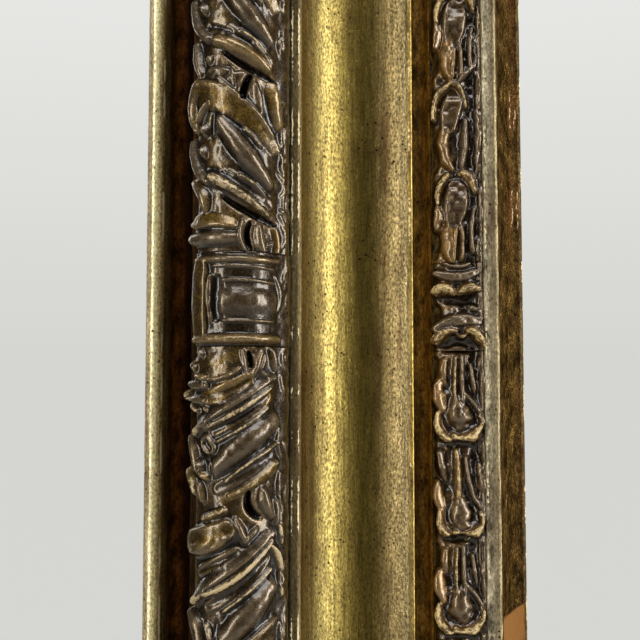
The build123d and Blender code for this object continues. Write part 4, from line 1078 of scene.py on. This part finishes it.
@dataclass(frozen=True)
class Torus:
    """The carved half-round torus of a rail: its bed, its axis and the lengths of its pieces."""

    axis_across: float = 24.4
    axis_height: float = 40.0
    radius: float = 12.0
    ground_radius: float = 9.7
    foot_angle: float = math.radians(129)
    wall_across: float = 36.35
    wall_height: float = 39.4
    ground_rise: float = 0.8
    groove_cut: float = 2.0
    fillet_fill: float = 1.5
    strap_rise: float = 0.3
    middle_half: float = 10.8
    corner_reach: float = 72.0
    corner_ground: float = 0.5

    def spread(self, share: float) -> float:
        """Turns a share across the photographed bed into length round the torus."""
        flat = min(1.0, max(-1.0, 2 * share - 1))
        return self.radius * (math.asin(flat) + (2 * share - 1 - flat) * 2)

    def columns(self, step: float) -> np.ndarray:
        """Gives the columns' places round the torus."""
        reach = self.foot_angle * self.radius
        return np.linspace(-reach, reach, int(round(2 * reach / step)))

    def prepare(self, relief: Relief, middle: bool) -> None:
        """Lays the plain ground, cut back by the groove and filled up against the cove's fillet.

        Args:
            relief: The carving to start.
            middle: Whether it is a strap, which lies a little higher and is greyer all over.
        """
        share = relief.across / (self.radius * math.pi / 2)
        ground = self.ground_rise - self.groove_cut * smooth(-share, 0.62, 1.0)
        ground = ground + self.fillet_fill * smooth(share, 0.62, 0.92)
        relief.height += ground + self.strap_rise if middle else ground
        if middle:
            relief.tone[:] = 0.85
        else:
            relief.tone[:, relief.across > self.spread(0.93)] = 0.95

    def surface(self, relief: Relief) -> tuple:
        """Wraps a relief round the torus.

        Args:
            relief: The carving.

        Returns:
            Across and height of each point.
        """
        angle = relief.across / self.radius
        fade = 1 - smooth(np.abs(angle), math.radians(98), math.radians(120))
        reach = self.ground_radius + relief.height * fade
        across = self.axis_across + reach * np.sin(angle)
        height = self.axis_height + reach * np.cos(angle)
        walled = (height < self.wall_height + 0.4) & (across > self.wall_across)
        return np.where(walled, self.wall_across, across), height


@dataclass(frozen=True)
class HuskBed:
    """The flat bed of the husk chain beside the sight fillet."""

    start: float = 71.8
    width: float = 12.9
    height: float = 24.0
    middle_half: float = 11.0
    corner_reach: float = 20.0 + 71.8 + 12.9 / 2
    corner_ground: float = 2.0
    overhang: float = 1.4
    ground_rise: float = 0.6
    body_rise: float = 2.4
    ridge_rise: float = 3.4

    def spread(self, share: float) -> float:
        """Turns a share across the bed into length across it."""
        return share * self.width

    def columns(self, step: float) -> np.ndarray:
        """Gives the columns' places across the bed."""
        return np.linspace(0, self.width, int(round(self.width / step)))

    def prepare(self, relief: Relief, middle: bool) -> None:
        """Lays the rounded body of the chain, with a ridge along the sight fillet.

        Args:
            relief: The carving to start.
            middle: Whether it is a knot; not used, as a knot has the same body as a chain.
        """
        share = relief.across / self.width
        body = np.clip(1 - ((share - 0.5) / 0.5) ** 2, 0, 1)
        ridge = smooth(share, 0.84, 0.95)
        relief.height += self.ground_rise + self.body_rise * body + self.ridge_rise * ridge
        relief.tone[:, relief.across > 0.86 * self.width] = 1.0

    def surface(self, relief: Relief) -> tuple:
        """Stands a relief on the bed, with its two side walls.

        Args:
            relief: The carving.

        Returns:
            Across and height of each point, with a column more at each side.
        """
        padded = np.pad(relief.across, 1, mode="edge")
        across = np.tile(self.start + padded, (len(relief.along), 1))
        near = 1 - smooth(padded / self.width, 0.0, 0.3)
        across[:, 1:-1] -= self.overhang * (smooth(relief.height, 2.4, 4.2) * near[1:-1])
        rim = 1 - 0.7 * smooth(0.5 - relief.across / self.width, 0.40, 0.5)
        height = self.height + 0.2 + np.clip(relief.height, 0, None) * rim
        return across, np.pad(height, ((0, 0), (1, 1)), constant_values=self.height - 0.1)


@dataclass(frozen=True)
class Work:
    """One kind of cast piece: its names, its chisel forms, its seed, its wear and the gesso crust beside it.

    Soft is how far the gesso rounds it and rough how uneven it is. Crust is the shares across the bed between
    which the ridges start, and their height.
    """

    name: str
    node: str
    forms: tuple
    seed: int
    soft: float
    rough: float
    crust: tuple = ()


@dataclass
class Course:
    """A carved course round the frame: runs, a piece in the middle of each rail, and a leaf over each mitre.

    Periods are the lengths of a unit on the long and the short rails. Swell is the range that the units past
    the photographed ones rise by.
    """

    bed: Torus | HuskBed
    gilding: bpy.types.Material
    slot: str
    run: Work
    middle: Work
    corner: Work
    periods: tuple
    swell: tuple
    seed_step: int
    fineness: float = 1.0
    fine: float = 0.27
    coarse: float = 0.62
    detailed_length: float = 84.0

    def step(self, rail: Rail) -> float:
        """Gives the mesh spacing, finer on the rail that the camera sees."""
        return (self.fine if rail is Rail.LEFT else self.coarse) * self.fineness

    def thinned(self, rail: Rail, rows: int, step: float) -> np.ndarray:
        """Keeps every row near the middle of the seen rail and every third row past it."""
        near = int(self.detailed_length / step) if rail is Rail.LEFT else rows
        return np.unique([*range(min(near, rows)), *range(near, rows - 1, 3), rows - 1])

    def start(self, length: float, step: float, first: float = 0.0) -> Relief:
        """Starts a bare relief.

        Args:
            length: Its length.
            step: The mesh spacing.
            first: Where it starts along the rail.

        Returns:
            The relief, without its ground.
        """
        along = first + np.linspace(0, length, int(round(length / step)) + 1)
        return Relief(self.bed.columns(step), along, self.bed.spread)

    def crust(self, relief: Relief, rng: np.random.Generator, work: Work) -> None:
        """Lays short wandering ridges of old gesso along one side of a bed.

        Args:
            relief: The carving.
            rng: The seeded source of chance.
            work: The kind of piece.
        """
        low, high, rise = work.crust
        for place in np.arange(relief.along[0], relief.along[-1], 1.7):
            share = rng.uniform(low, high)
            sway = rng.uniform(-0.02, 0.02, 2)
            reach = rng.uniform(1.5, 4.5)
            line = ((share, place), (share + sway[0], place + reach), (share + sway[1], place + 2 * reach))
            top = rise + rng.uniform(0.05, 0.35)
            tone = rng.uniform(0.3, 1.0)
            relief.lay(Stroke(Form.DOME, line, (0.2, 0.32, 0.2), (top, top, top), tone, 0.35))

    def cast(self, name: str, work: Work, rail: Rail, relief: Relief, rng: np.random.Generator,
             way: int = 1, start: float = 0.0, rows: np.ndarray | None = None) -> None:
        """Finishes a carved relief and makes its piece.

        Args:
            name: What tells this piece from the others of its kind.
            work: The kind of piece.
            rail: The rail that it lies on.
            relief: The carving.
            rng: The seeded source of chance.
            way: Which half of the rail it runs along, 1 or -1.
            start: How far from the rail's middle it starts.
            rows: The rows to keep, or none for all.
        """
        self.crust(relief, rng, work)
        fields = relief.finish(rng, work.soft, work.rough)
        across, height = self.bed.surface(relief)
        rows = np.arange(len(relief.along)) if rows is None else rows
        side = (across.shape[1] - len(relief.across)) // 2
        along = way * (start + relief.along[rows])[:, None] * np.ones(across.shape[1])
        kept = {key: np.pad(grid, ((0, 0), (side, side)), mode="edge")[rows] for key, grid in fields.items()}
        mesh = shell(f"{work.name}_{name}", LAYOUT.place(rail, across[rows], height[rows], along), kept)
        piece(f"{work.name}_{name}", [mesh], self.gilding, f"{work.node}_{name}")

    def runs(self) -> None:
        """Builds the eight runs between the middle pieces and the corner leaves."""
        for rail, name, way in LAYOUT.halves():
            seed = self.run.seed + len(name) + self.seed_step * list(Rail).index(rail) + way
            rng = np.random.default_rng(seed)
            length = LAYOUT.half_length(rail) - self.bed.corner_reach - self.bed.middle_half
            period = self.periods[0 if rail in (Rail.LEFT, Rail.RIGHT) else 1]
            step = self.step(rail)
            relief = self.start(length, step)
            self.bed.prepare(relief, False)
            pair = self.run.forms[way]
            forms = [(form, k) for k in range(int(math.ceil(length / period))) for form in pair[k % 2]]
            for form, k in sorted(forms, key=lambda one: one[0].form is Form.HOLE):
                relief.lay(form, k * period, 1.0 if k < 2 else rng.uniform(*self.swell))
            rows = self.thinned(rail, len(relief.along), step)
            self.cast(name, self.run, rail, relief, rng, way, self.bed.middle_half, rows)

    def middles(self) -> None:
        """Builds the strap or the knot in the middle of each rail."""
        for count, rail in enumerate(Rail):
            half = self.bed.middle_half
            relief = self.start(2 * half, self.step(rail), -half)
            self.bed.prepare(relief, True)
            relief.carve(self.middle.forms)
            self.cast(rail.value, self.middle, rail, relief, np.random.default_rng(self.middle.seed + count))

    def leg(self, name: str, rail: Rail, way: int, seed: int) -> bpy.types.Mesh:
        """Builds one leg of a corner leaf, cut at the mitre.

        Args:
            name: The mesh's name.
            rail: The rail that the leg lies on.
            way: Which end of the rail, 1 or -1.
            seed: The seed of its unevenness.

        Returns:
            The leg's skin.
        """
        step = self.coarse * 0.8
        half = LAYOUT.half_length(rail)
        start = half - self.bed.corner_reach
        relief = self.start(self.bed.corner_reach, step)
        relief.height += self.bed.corner_ground
        relief.carve(self.corner.forms)
        fields = relief.finish(np.random.default_rng(seed), self.corner.soft, self.corner.rough)
        nominal = self.bed.surface(relief)[0][0]
        side = (len(nominal) - len(relief.across)) // 2
        ends = half - nominal - start
        shares = np.linspace(0, 1, int(round(ends.mean() / step)))
        columns = np.clip(np.arange(len(nominal)) - side, 0, len(relief.across) - 1)
        kept = {key: slanted(grid, relief.along, ends, shares, columns) for key, grid in fields.items()}
        reduced = Relief(relief.across, shares, self.bed.spread)
        kept_columns = slice(side, len(nominal) - side)
        reduced.height = slanted(relief.height, relief.along, ends, shares, columns)[:, kept_columns]
        across, height = self.bed.surface(reduced)
        along = way * (start + shares[:, None] * (half - across - start))
        return shell(name, LAYOUT.place(rail, across, height, along), kept)

    def corners(self) -> None:
        """Builds the leaf over each mitre."""
        for count, (place, ends) in enumerate(LAYOUT.corners()):
            name = f"{self.corner.name}_{place}"
            legs = [self.leg(name, rail, way, self.corner.seed + count) for rail, way in ends]
            piece(name, legs, self.gilding, f"{self.corner.node}_{place}")

    def build(self) -> None:
        """Builds the whole course."""
        self.runs()
        self.middles()
        self.corners()


@dataclass
class Moulding:
    """The four run mouldings. The lines give across and height over the moulding's back, outer edge first."""

    gilding: bpy.types.Material
    seed: int = 601
    back_height: float = 14.0
    softness: float = 0.28
    sampling: float = 0.08
    fine: float = 0.42
    coarse: float = 0.8
    row_spacing: float = 4.0
    close_spacing: float = 1.2
    back_inset: float = 4.0
    back_columns: int = 12
    cove_middle: float = 92.0
    pattern_step: float = 400.0
    sway: float = 0.10
    sway_size: float = 26.0
    bumps: float = 0.05
    bump_size: float = 9.0
    patch_size: float = 5.0
    edge_fade: float = 3.0
    wear_width: float = 0.35
    lines: tuple = (
        ((0.0, 0.0), (0.0, 12.2), (0.5, 14.8)),
        ((0.5, 14.8), (2.7, 17.0), (4.9, 14.8)),
        ((4.9, 14.8), (6.0, 7.5)),
        ((6.0, 7.5), (8.9, 6.0), (11.8, 7.5)),
        ((11.8, 7.5), (12.4, 20.0), (36.4, 20.0), (36.4, 25.5), (38.8, 25.5), (38.8, 25.0)),
        ((38.8, 25.0), (55.01, 13.6), (65.2, 17.0)),
        ((65.2, 17.0), (66.8, 17.3), (67.4, 7.9)),
        ((67.4, 7.9), (69.3, 6.5), (71.2, 7.9)),
        ((71.2, 7.9), (71.8, 10.0), (84.7, 10.0), (84.7, 15.0), (88.2, 15.0), (88.2, 14.2)),
        ((88.2, 14.2), (91.6, 9.2), (95.0, 7.2)),
        ((95.0, 7.2), (96.0, 6.8), (96.0, 0.0)),
    )
    arcs: tuple = (1, 3, 5, 7, 9)
    # Edges that show cream gesso: partly rubbed gilding and partly painted highlights along the arrises.
    rubbed_and_highlit_edges: tuple = (0.6, 4.7, 37.0, 38.6, 65.9, 84.9, 88.1, 95.6)
    # The bare chip in the photograph: from and to across, from and to along, on the left rail's sight cove.
    chip: tuple = (88.7, 95.2, -85.0, -75.4)
    chip_depth: float = 0.3
    chip_margin: float = 3.0
    chip_rows: int = 13
    # The edges of two lifted flakes above it: across, from and to along.
    flakes: tuple = ((92.6, 46.0, 55.5), (94.0, 45.8, 51.5), (92.9, 20.1, 31.0), (94.4, 20.1, 30.2))
    flake_reach: tuple = (18.0, 58.0)
    flake_rise: float = 0.08
    flake_width: float = 0.26

    def bow(self, ends: tuple, count: int = 60) -> np.ndarray:
        """Draws the arc through three points.

        Args:
            ends: The first, middle and last point.
            count: How many points to give.

        Returns:
            The points on the arc.
        """
        a, b, c = (np.array(p) for p in ends)
        d = 2 * (a[0] * (b[1] - c[1]) + b[0] * (c[1] - a[1]) + c[0] * (a[1] - b[1]))
        squares = [p @ p for p in (a, b, c)]
        x = (squares[0] * (b[1] - c[1]) + squares[1] * (c[1] - a[1]) + squares[2] * (a[1] - b[1])) / d
        y = (squares[0] * (c[0] - b[0]) + squares[1] * (a[0] - c[0]) + squares[2] * (b[0] - a[0])) / d
        turn = np.unwrap([math.atan2(p[1] - y, p[0] - x) for p in (a, b, c)])
        t = np.linspace(turn[0], turn[2], count)
        radius = math.hypot(a[0] - x, a[1] - y)
        return np.stack([x + radius * np.cos(t), y + radius * np.sin(t)], axis=1)

    def section(self, step: float) -> np.ndarray:
        """Samples the front of the section and rounds its edges under the gesso.

        Args:
            step: The spacing of the points.

        Returns:
            Across, height over the back and length round the section, one row per point.
        """
        runs = [self.bow(line) if k in self.arcs else np.array(line) for k, line in enumerate(self.lines)]
        path = np.concatenate(runs)
        path = path[np.concatenate([[True], np.linalg.norm(np.diff(path, axis=0), axis=1) > 1e-6])]
        girth = np.concatenate([[0], np.cumsum(np.linalg.norm(np.diff(path, axis=0), axis=1))])
        fine = np.arange(0, girth[-1], self.sampling)
        dense = np.stack([np.interp(fine, girth, path[:, k]) for k in range(2)], axis=1)
        soft = blurred(dense, (self.softness / self.sampling, 0.01))
        places = np.linspace(0, fine[-1], int(round(girth[-1] / step)))
        made = np.stack([np.interp(places, fine, soft[:, k]) for k in range(2)], axis=1)
        made[0], made[-1] = (0.0, 0.0), (LAYOUT.rail_width, 0.0)
        return np.column_stack([made, places])

    def rows(self, rail: Rail, half: float) -> np.ndarray:
        """Gives the rows' places along a rail, closer by the chip and the flakes.

        Args:
            rail: The rail.
            half: Half its outer length.

        Returns:
            The places as shares of half its length at the sight edge's corner.
        """
        share = np.linspace(-1, 1, int(2 * half / self.row_spacing) | 1)
        if rail is not Rail.LEFT:
            return share
        low, high = self.chip[3] - self.chip_margin, self.chip[3] + self.chip_margin
        beside_flakes = np.arange(*self.flake_reach, self.close_spacing)
        close = np.concatenate([np.linspace(low, high, self.chip_rows), beside_flakes])
        return np.union1d(share, close / (half - self.cove_middle))

    def damage(self, across: np.ndarray, along: np.ndarray) -> tuple:
        """Marks the chip and the flakes' edges on the left rail.

        Args:
            across: The columns' distance from the outer edge.
            along: Each point's distance from the rail's middle.

        Returns:
            How chipped and how flaked each point is.
        """
        inside = ((across > self.chip[0]) & (across < self.chip[1]))[None, :]
        slant = 0.5 * (across - self.cove_middle)[None, :]
        chipped = inside * smooth(self.chip[3] - along + slant, -0.3, 0.3)
        chipped = chipped * smooth(along, self.chip[2] - 0.3, self.chip[2] + 0.3)
        flaked = np.zeros_like(along)
        for place, low, high in self.flakes:
            wander = place + 0.16 * np.sin(0.9 * along + place) + 0.08 * np.sin(2.3 * along)
            reach = smooth(along, low - 0.3, low + 0.3) * smooth(high - along, -0.3, 0.3)
            line = np.exp(-(((across[None, :] - wander) / self.flake_width) ** 2))
            flaked = np.maximum(flaked, reach * line)
        return chipped, flaked

    def rail(self, rail: Rail, count: int) -> None:
        """Builds one rail.

        Args:
            rail: The rail.
            count: Its place in the order, which its seed and its pattern go by.
        """
        rng = np.random.default_rng(self.seed + count)
        front = self.section(self.fine if rail is Rail.LEFT else self.coarse)
        back = np.linspace(LAYOUT.rail_width - self.back_inset, self.back_inset, self.back_columns)
        across = np.concatenate([front[:, 0], back])
        height = np.concatenate([front[:, 1], np.zeros(len(back))])
        girth = np.concatenate([front[:, 2], front[-1, 2] + LAYOUT.rail_width - back])
        raw = np.concatenate([np.zeros(len(front)), np.ones(len(back))])
        raw[len(front) - 1] = raw[0] = 1.0
        # Worn edges: partly rubbed gilding and partly painted highlights along the arrises.
        worn = sum(np.exp(-(((across - u) / self.wear_width) ** 2)) for u in self.rubbed_and_highlit_edges)
        worn = np.clip(worn, 0, 1) * (1 - raw)
        half = LAYOUT.half_length(rail)
        share = self.rows(rail, half)
        tall = (len(share), 1)
        along = share[:, None] * (half - across[None, :])
        chipped = flaked = np.zeros_like(along)
        if rail is Rail.LEFT:
            chipped, flaked = self.damage(across, along)
        fade = (1 - smooth(np.abs(share), 0.9, 1.0))[:, None]
        sway = drift(rng, share * half, girth, self.sway_size) * fade * (1 - raw)
        bumps = drift(rng, share * half, girth, self.bump_size) * fade * (1 - raw)
        patchy = np.clip(0.7 + 0.9 * drift(rng, share * half, girth, self.patch_size), 0, 1)
        inner = np.clip(np.minimum(across, LAYOUT.rail_width - across) / self.edge_fade, 0, 1)
        lift = (self.sway * sway + self.bumps * bumps) * inner
        lift = lift - self.chip_depth * chipped + self.flake_rise * flaked
        fields = {
            "across": np.tile(across, tall),
            "girth": np.tile(girth, tall) + self.pattern_step * count,
            "along": along,
            "raw": np.maximum(np.tile(raw, tall), np.maximum(chipped, 0.5 * flaked**2)),
            "edge": np.maximum(worn * patchy, flaked),
        }
        loops = LAYOUT.place(rail, fields["across"], self.back_height + height[None, :] + lift, along)
        mesh = shell(f"moulding_{rail.value}", loops, fields)
        piece(f"moulding_{rail.value}", [mesh], self.gilding, f"rail_{rail.value}")

    def build(self) -> None:
        """Builds the four rails."""
        for count, rail in enumerate(Rail):
            self.rail(rail, count)


@dataclass
class Hardware:
    """The back frame, its keys and fixings, the turn buttons and the hangers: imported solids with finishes."""

    finishes: dict = field(default_factory=lambda: {
        "back_frame": Timber("aged_pine", "#8a6a43", "#694b2b"),
        "back_frame_top": Timber("aged_pine_cross", "#8a6a43", "#694b2b", grain=(0.1, 1.0, 1.0)),
        "back_frame_bottom": Timber("aged_pine_foot", "#846540", "#644728", grain=(0.1, 1.0, 1.0)),
        "mitre_key": Timber("aged_beech", "#7d5a35", "#553a20", 2.5),
        "lap_peg": Timber("aged_beech_pegs", "#6f4e2d", "#4a321b", 2.5),
        "mitre_nails": WornMetal("forged_iron", "#5b5048", "#3a2418", 0.55),
        "turn_button": WornMetal("stamped_brass", "#c9a24e", "#7d5c28"),
        "turn_button_screws": WornMetal("slotted_steel_screws", "#8d8a84", "#4d463e", 0.4),
        "hanger_plate": WornMetal("pressed_brass", "#bd9a50", "#735427"),
        "hanger_ring": WornMetal("drawn_brass_wire", "#c6a356", "#80602c", 0.32),
        "hanger_screws": WornMetal("round_head_steel_screws", "#8d8a84", "#4d463e", 0.4),
    })

    def dress(self) -> None:
        """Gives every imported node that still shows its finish."""
        made = {key: finish.make() for key, finish in self.finishes.items()}
        for name, node in sorted(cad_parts.items()):
            if node.hide_render:
                continue
            key = max((k for k in made if name.startswith(k)), key=len)
            node.data.materials.clear()
            node.data.materials.append(made[key])
            LOG.info("%s: finish %s", name, made[key].name)


@dataclass
class Studio:
    """Floor, soft lights, pale ground and the camera of the photograph."""

    floor_radius: float = 0.95
    floor_height: float = -0.319
    floor_colour: str = "#b4b4b1"
    ground_low: str = "#d6d6d2"
    ground_middle: str = "#d5d6d2"
    ground_high: str = "#e8e9e6"
    room_colour: str = "#bdbbb6"
    room_strength: float = 0.07
    floor_grain_mm: float = 1000 / 60
    camera_place: tuple = (-0.2353, -0.280, -0.021)
    camera_pitch: float = 4.0
    lens: float = 57.1
    aim: tuple = (-0.235, -0.04, 0.0)

    def light(self, name: str, angle: float, rise: float, distance: float, size: tuple, power: float,
              colour: str) -> None:
        """Hangs one soft box that faces the photographed rail.

        Args:
            name: The light's name.
            angle: Degrees to the right of the camera's axis, seen from the rail.
            rise: Degrees above the rail.
            distance: Metres from the rail.
            size: Width and height in metres.
            power: Watts.
            colour: The light's colour.
        """
        data = bpy.data.lights.new(name, "AREA")
        data.shape = "RECTANGLE"
        data.size, data.size_y = size
        data.energy = power
        data.color = linear(colour)[:3]
        lamp = bpy.data.objects.new(name, data)
        bpy.context.scene.collection.objects.link(lamp)
        a, r = math.radians(angle), math.radians(rise)
        way = Vector((math.sin(a) * math.cos(r), -math.cos(a) * math.cos(r), math.sin(r)))
        lamp.location = Vector(self.aim) + way * distance
        lamp.rotation_euler = (-way).to_track_quat("-Z", "Y").to_euler()
        lamp.visible_camera = False

    def build(self) -> None:
        """Sets up the whole studio."""
        self.light("window_right", 64.0, 8.0, 1.5, (0.42, 1.3), 27.0, "#fffdf8")
        self.light("window_left", -50.0, 6.0, 1.5, (0.34, 1.2), 16.0, "#fffbf0")
        self.light("top_fill", 8.0, 58.0, 1.5, (1.2, 0.6), 18.0, "#fbfcff")
        self.light("back_fill_right", 150.0, 20.0, 1.8, (1.2, 1.2), 22.0, "#ffffff")
        self.light("back_fill_left", -150.0, 20.0, 1.8, (1.2, 1.2), 16.0, "#ffffff")
        self.ground()
        self.floor()
        self.camera()

    def ground(self) -> None:
        """Makes the pale ground that the camera sees and the dimmer room that lights the frame."""
        world = bpy.data.worlds.new("pale_room")
        bpy.context.scene.world = world
        world.use_nodes = True
        world.node_tree.nodes.clear()
        add = partial(add_node, world.node_tree)
        rise = add("SeparateXYZ", {0: add("TexCoord", out="Generated")}, 2)
        share = add("MapRange", {"From Min": -0.4, "From Max": 0.4, "Value": rise})
        stops = ((0.0, self.ground_low), (0.55, self.ground_middle), (1.0, self.ground_high))
        pale = add("Background", {"Color": add("ValToRGB", {"stops": stops, 0: share}), "Strength": 1.0})
        room = add("Background", {"Color": linear(self.room_colour), "Strength": self.room_strength})
        seen = add("LightPath", out="Is Camera Ray")
        add("OutputWorld", {"Surface": add("MixShader", {0: seen, 1: room, 2: pale})})

    def floor(self) -> None:
        """Lays a plain pale disc under the frame's lower edge."""
        bm = bmesh.new()
        bmesh.ops.create_circle(bm, cap_ends=True, segments=96, radius=self.floor_radius)
        bmesh.ops.translate(bm, verts=bm.verts, vec=(0, 0, self.floor_height - 0.0005))
        mesh = bpy.data.meshes.new("studio_floor")
        bm.to_mesh(mesh)
        bm.free()
        material, add = new_material("pale_floor")
        place = add("TexCoord", out="Object")
        grain = add("TexNoise", {"Scale": 1000 / self.floor_grain_mm, "Detail": 4.0, "Vector": place})
        rough = add("MapRange", {"To Min": 0.6, "To Max": 0.8, "Value": grain})
        shader = add("BsdfPrincipled", {"Base Color": linear(self.floor_colour), "Roughness": rough})
        add("OutputMaterial", {"Surface": shader})
        mesh.materials.append(material)
        disc = bpy.data.objects.new("studio_floor", mesh)
        bpy.context.scene.collection.objects.link(disc)

    def camera(self) -> None:
        """Sets the camera where the photograph was taken, close to the middle of the left rail."""
        data = bpy.data.cameras.new("camera")
        data.sensor_width = 36.0
        data.lens = self.lens
        data.clip_start = 0.01
        made = bpy.data.objects.new("camera", data)
        bpy.context.scene.collection.objects.link(made)
        made.location = self.camera_place
        made.rotation_euler = (math.radians(90 + self.camera_pitch), 0, 0)
        bpy.context.scene.camera = made
        view = bpy.context.scene.view_settings
        view.view_transform = "Standard"
        view.look = "None"


def main() -> None:
    """Builds the studio and every piece in order."""
    logging.basicConfig(level=logging.INFO, format="%(message)s")
    Studio().build()
    Moulding(RailGilding().make()).build()
    # The husk finish's darkest colour darkens its hollows as dirt and painted shade.
    husk_gilding = CarvedGilding(
        name="toned_husk_gilding", gold="#6c4b10", brown="#3b280c", grey="#3c2f1f", amber="#845c12",
        gesso="#b39c68", dirt_and_shade="#1e1409", metal=0.5,
    )
    leaves = Course(
        Torus(), CarvedGilding().make(), "gilded_carving",
        run=Work("leaves", "leaf_run", LEAF_RUNS, 11, 0.24, 0.11, (0.95, 1.05, 2.3)),
        middle=Work("strap", "center_strap", STRAP, 101, 0.18, 0.09, (0.96, 1.05, 2.4)),
        corner=Work("corner", "corner_leaf", CORNER, 211, 0.25, 0.17),
        periods=(33.74, 32.70), swell=(0.93, 1.05), seed_step=7,
    )
    husks = Course(
        HuskBed(), husk_gilding.make(), "husk_carving",
        run=Work("husks", "husk_run", HUSK_RUNS, 401, 0.2, 0.34, (0.86, 0.99, 4.4)),
        middle=Work("knot", "husk_knot", KNOT, 503, 0.2, 0.34, (0.88, 0.99, 4.4)),
        corner=Work("sight", "sight_corner_leaf", SIGHT_LEAF, 307, 0.25, 0.17),
        periods=(23.31, 24.25), swell=(0.94, 1.04), seed_step=5, fineness=0.9,
    )
    leaves.build()
    husks.build()
    Hardware().dress()


if __name__ == "__main__":
    main()
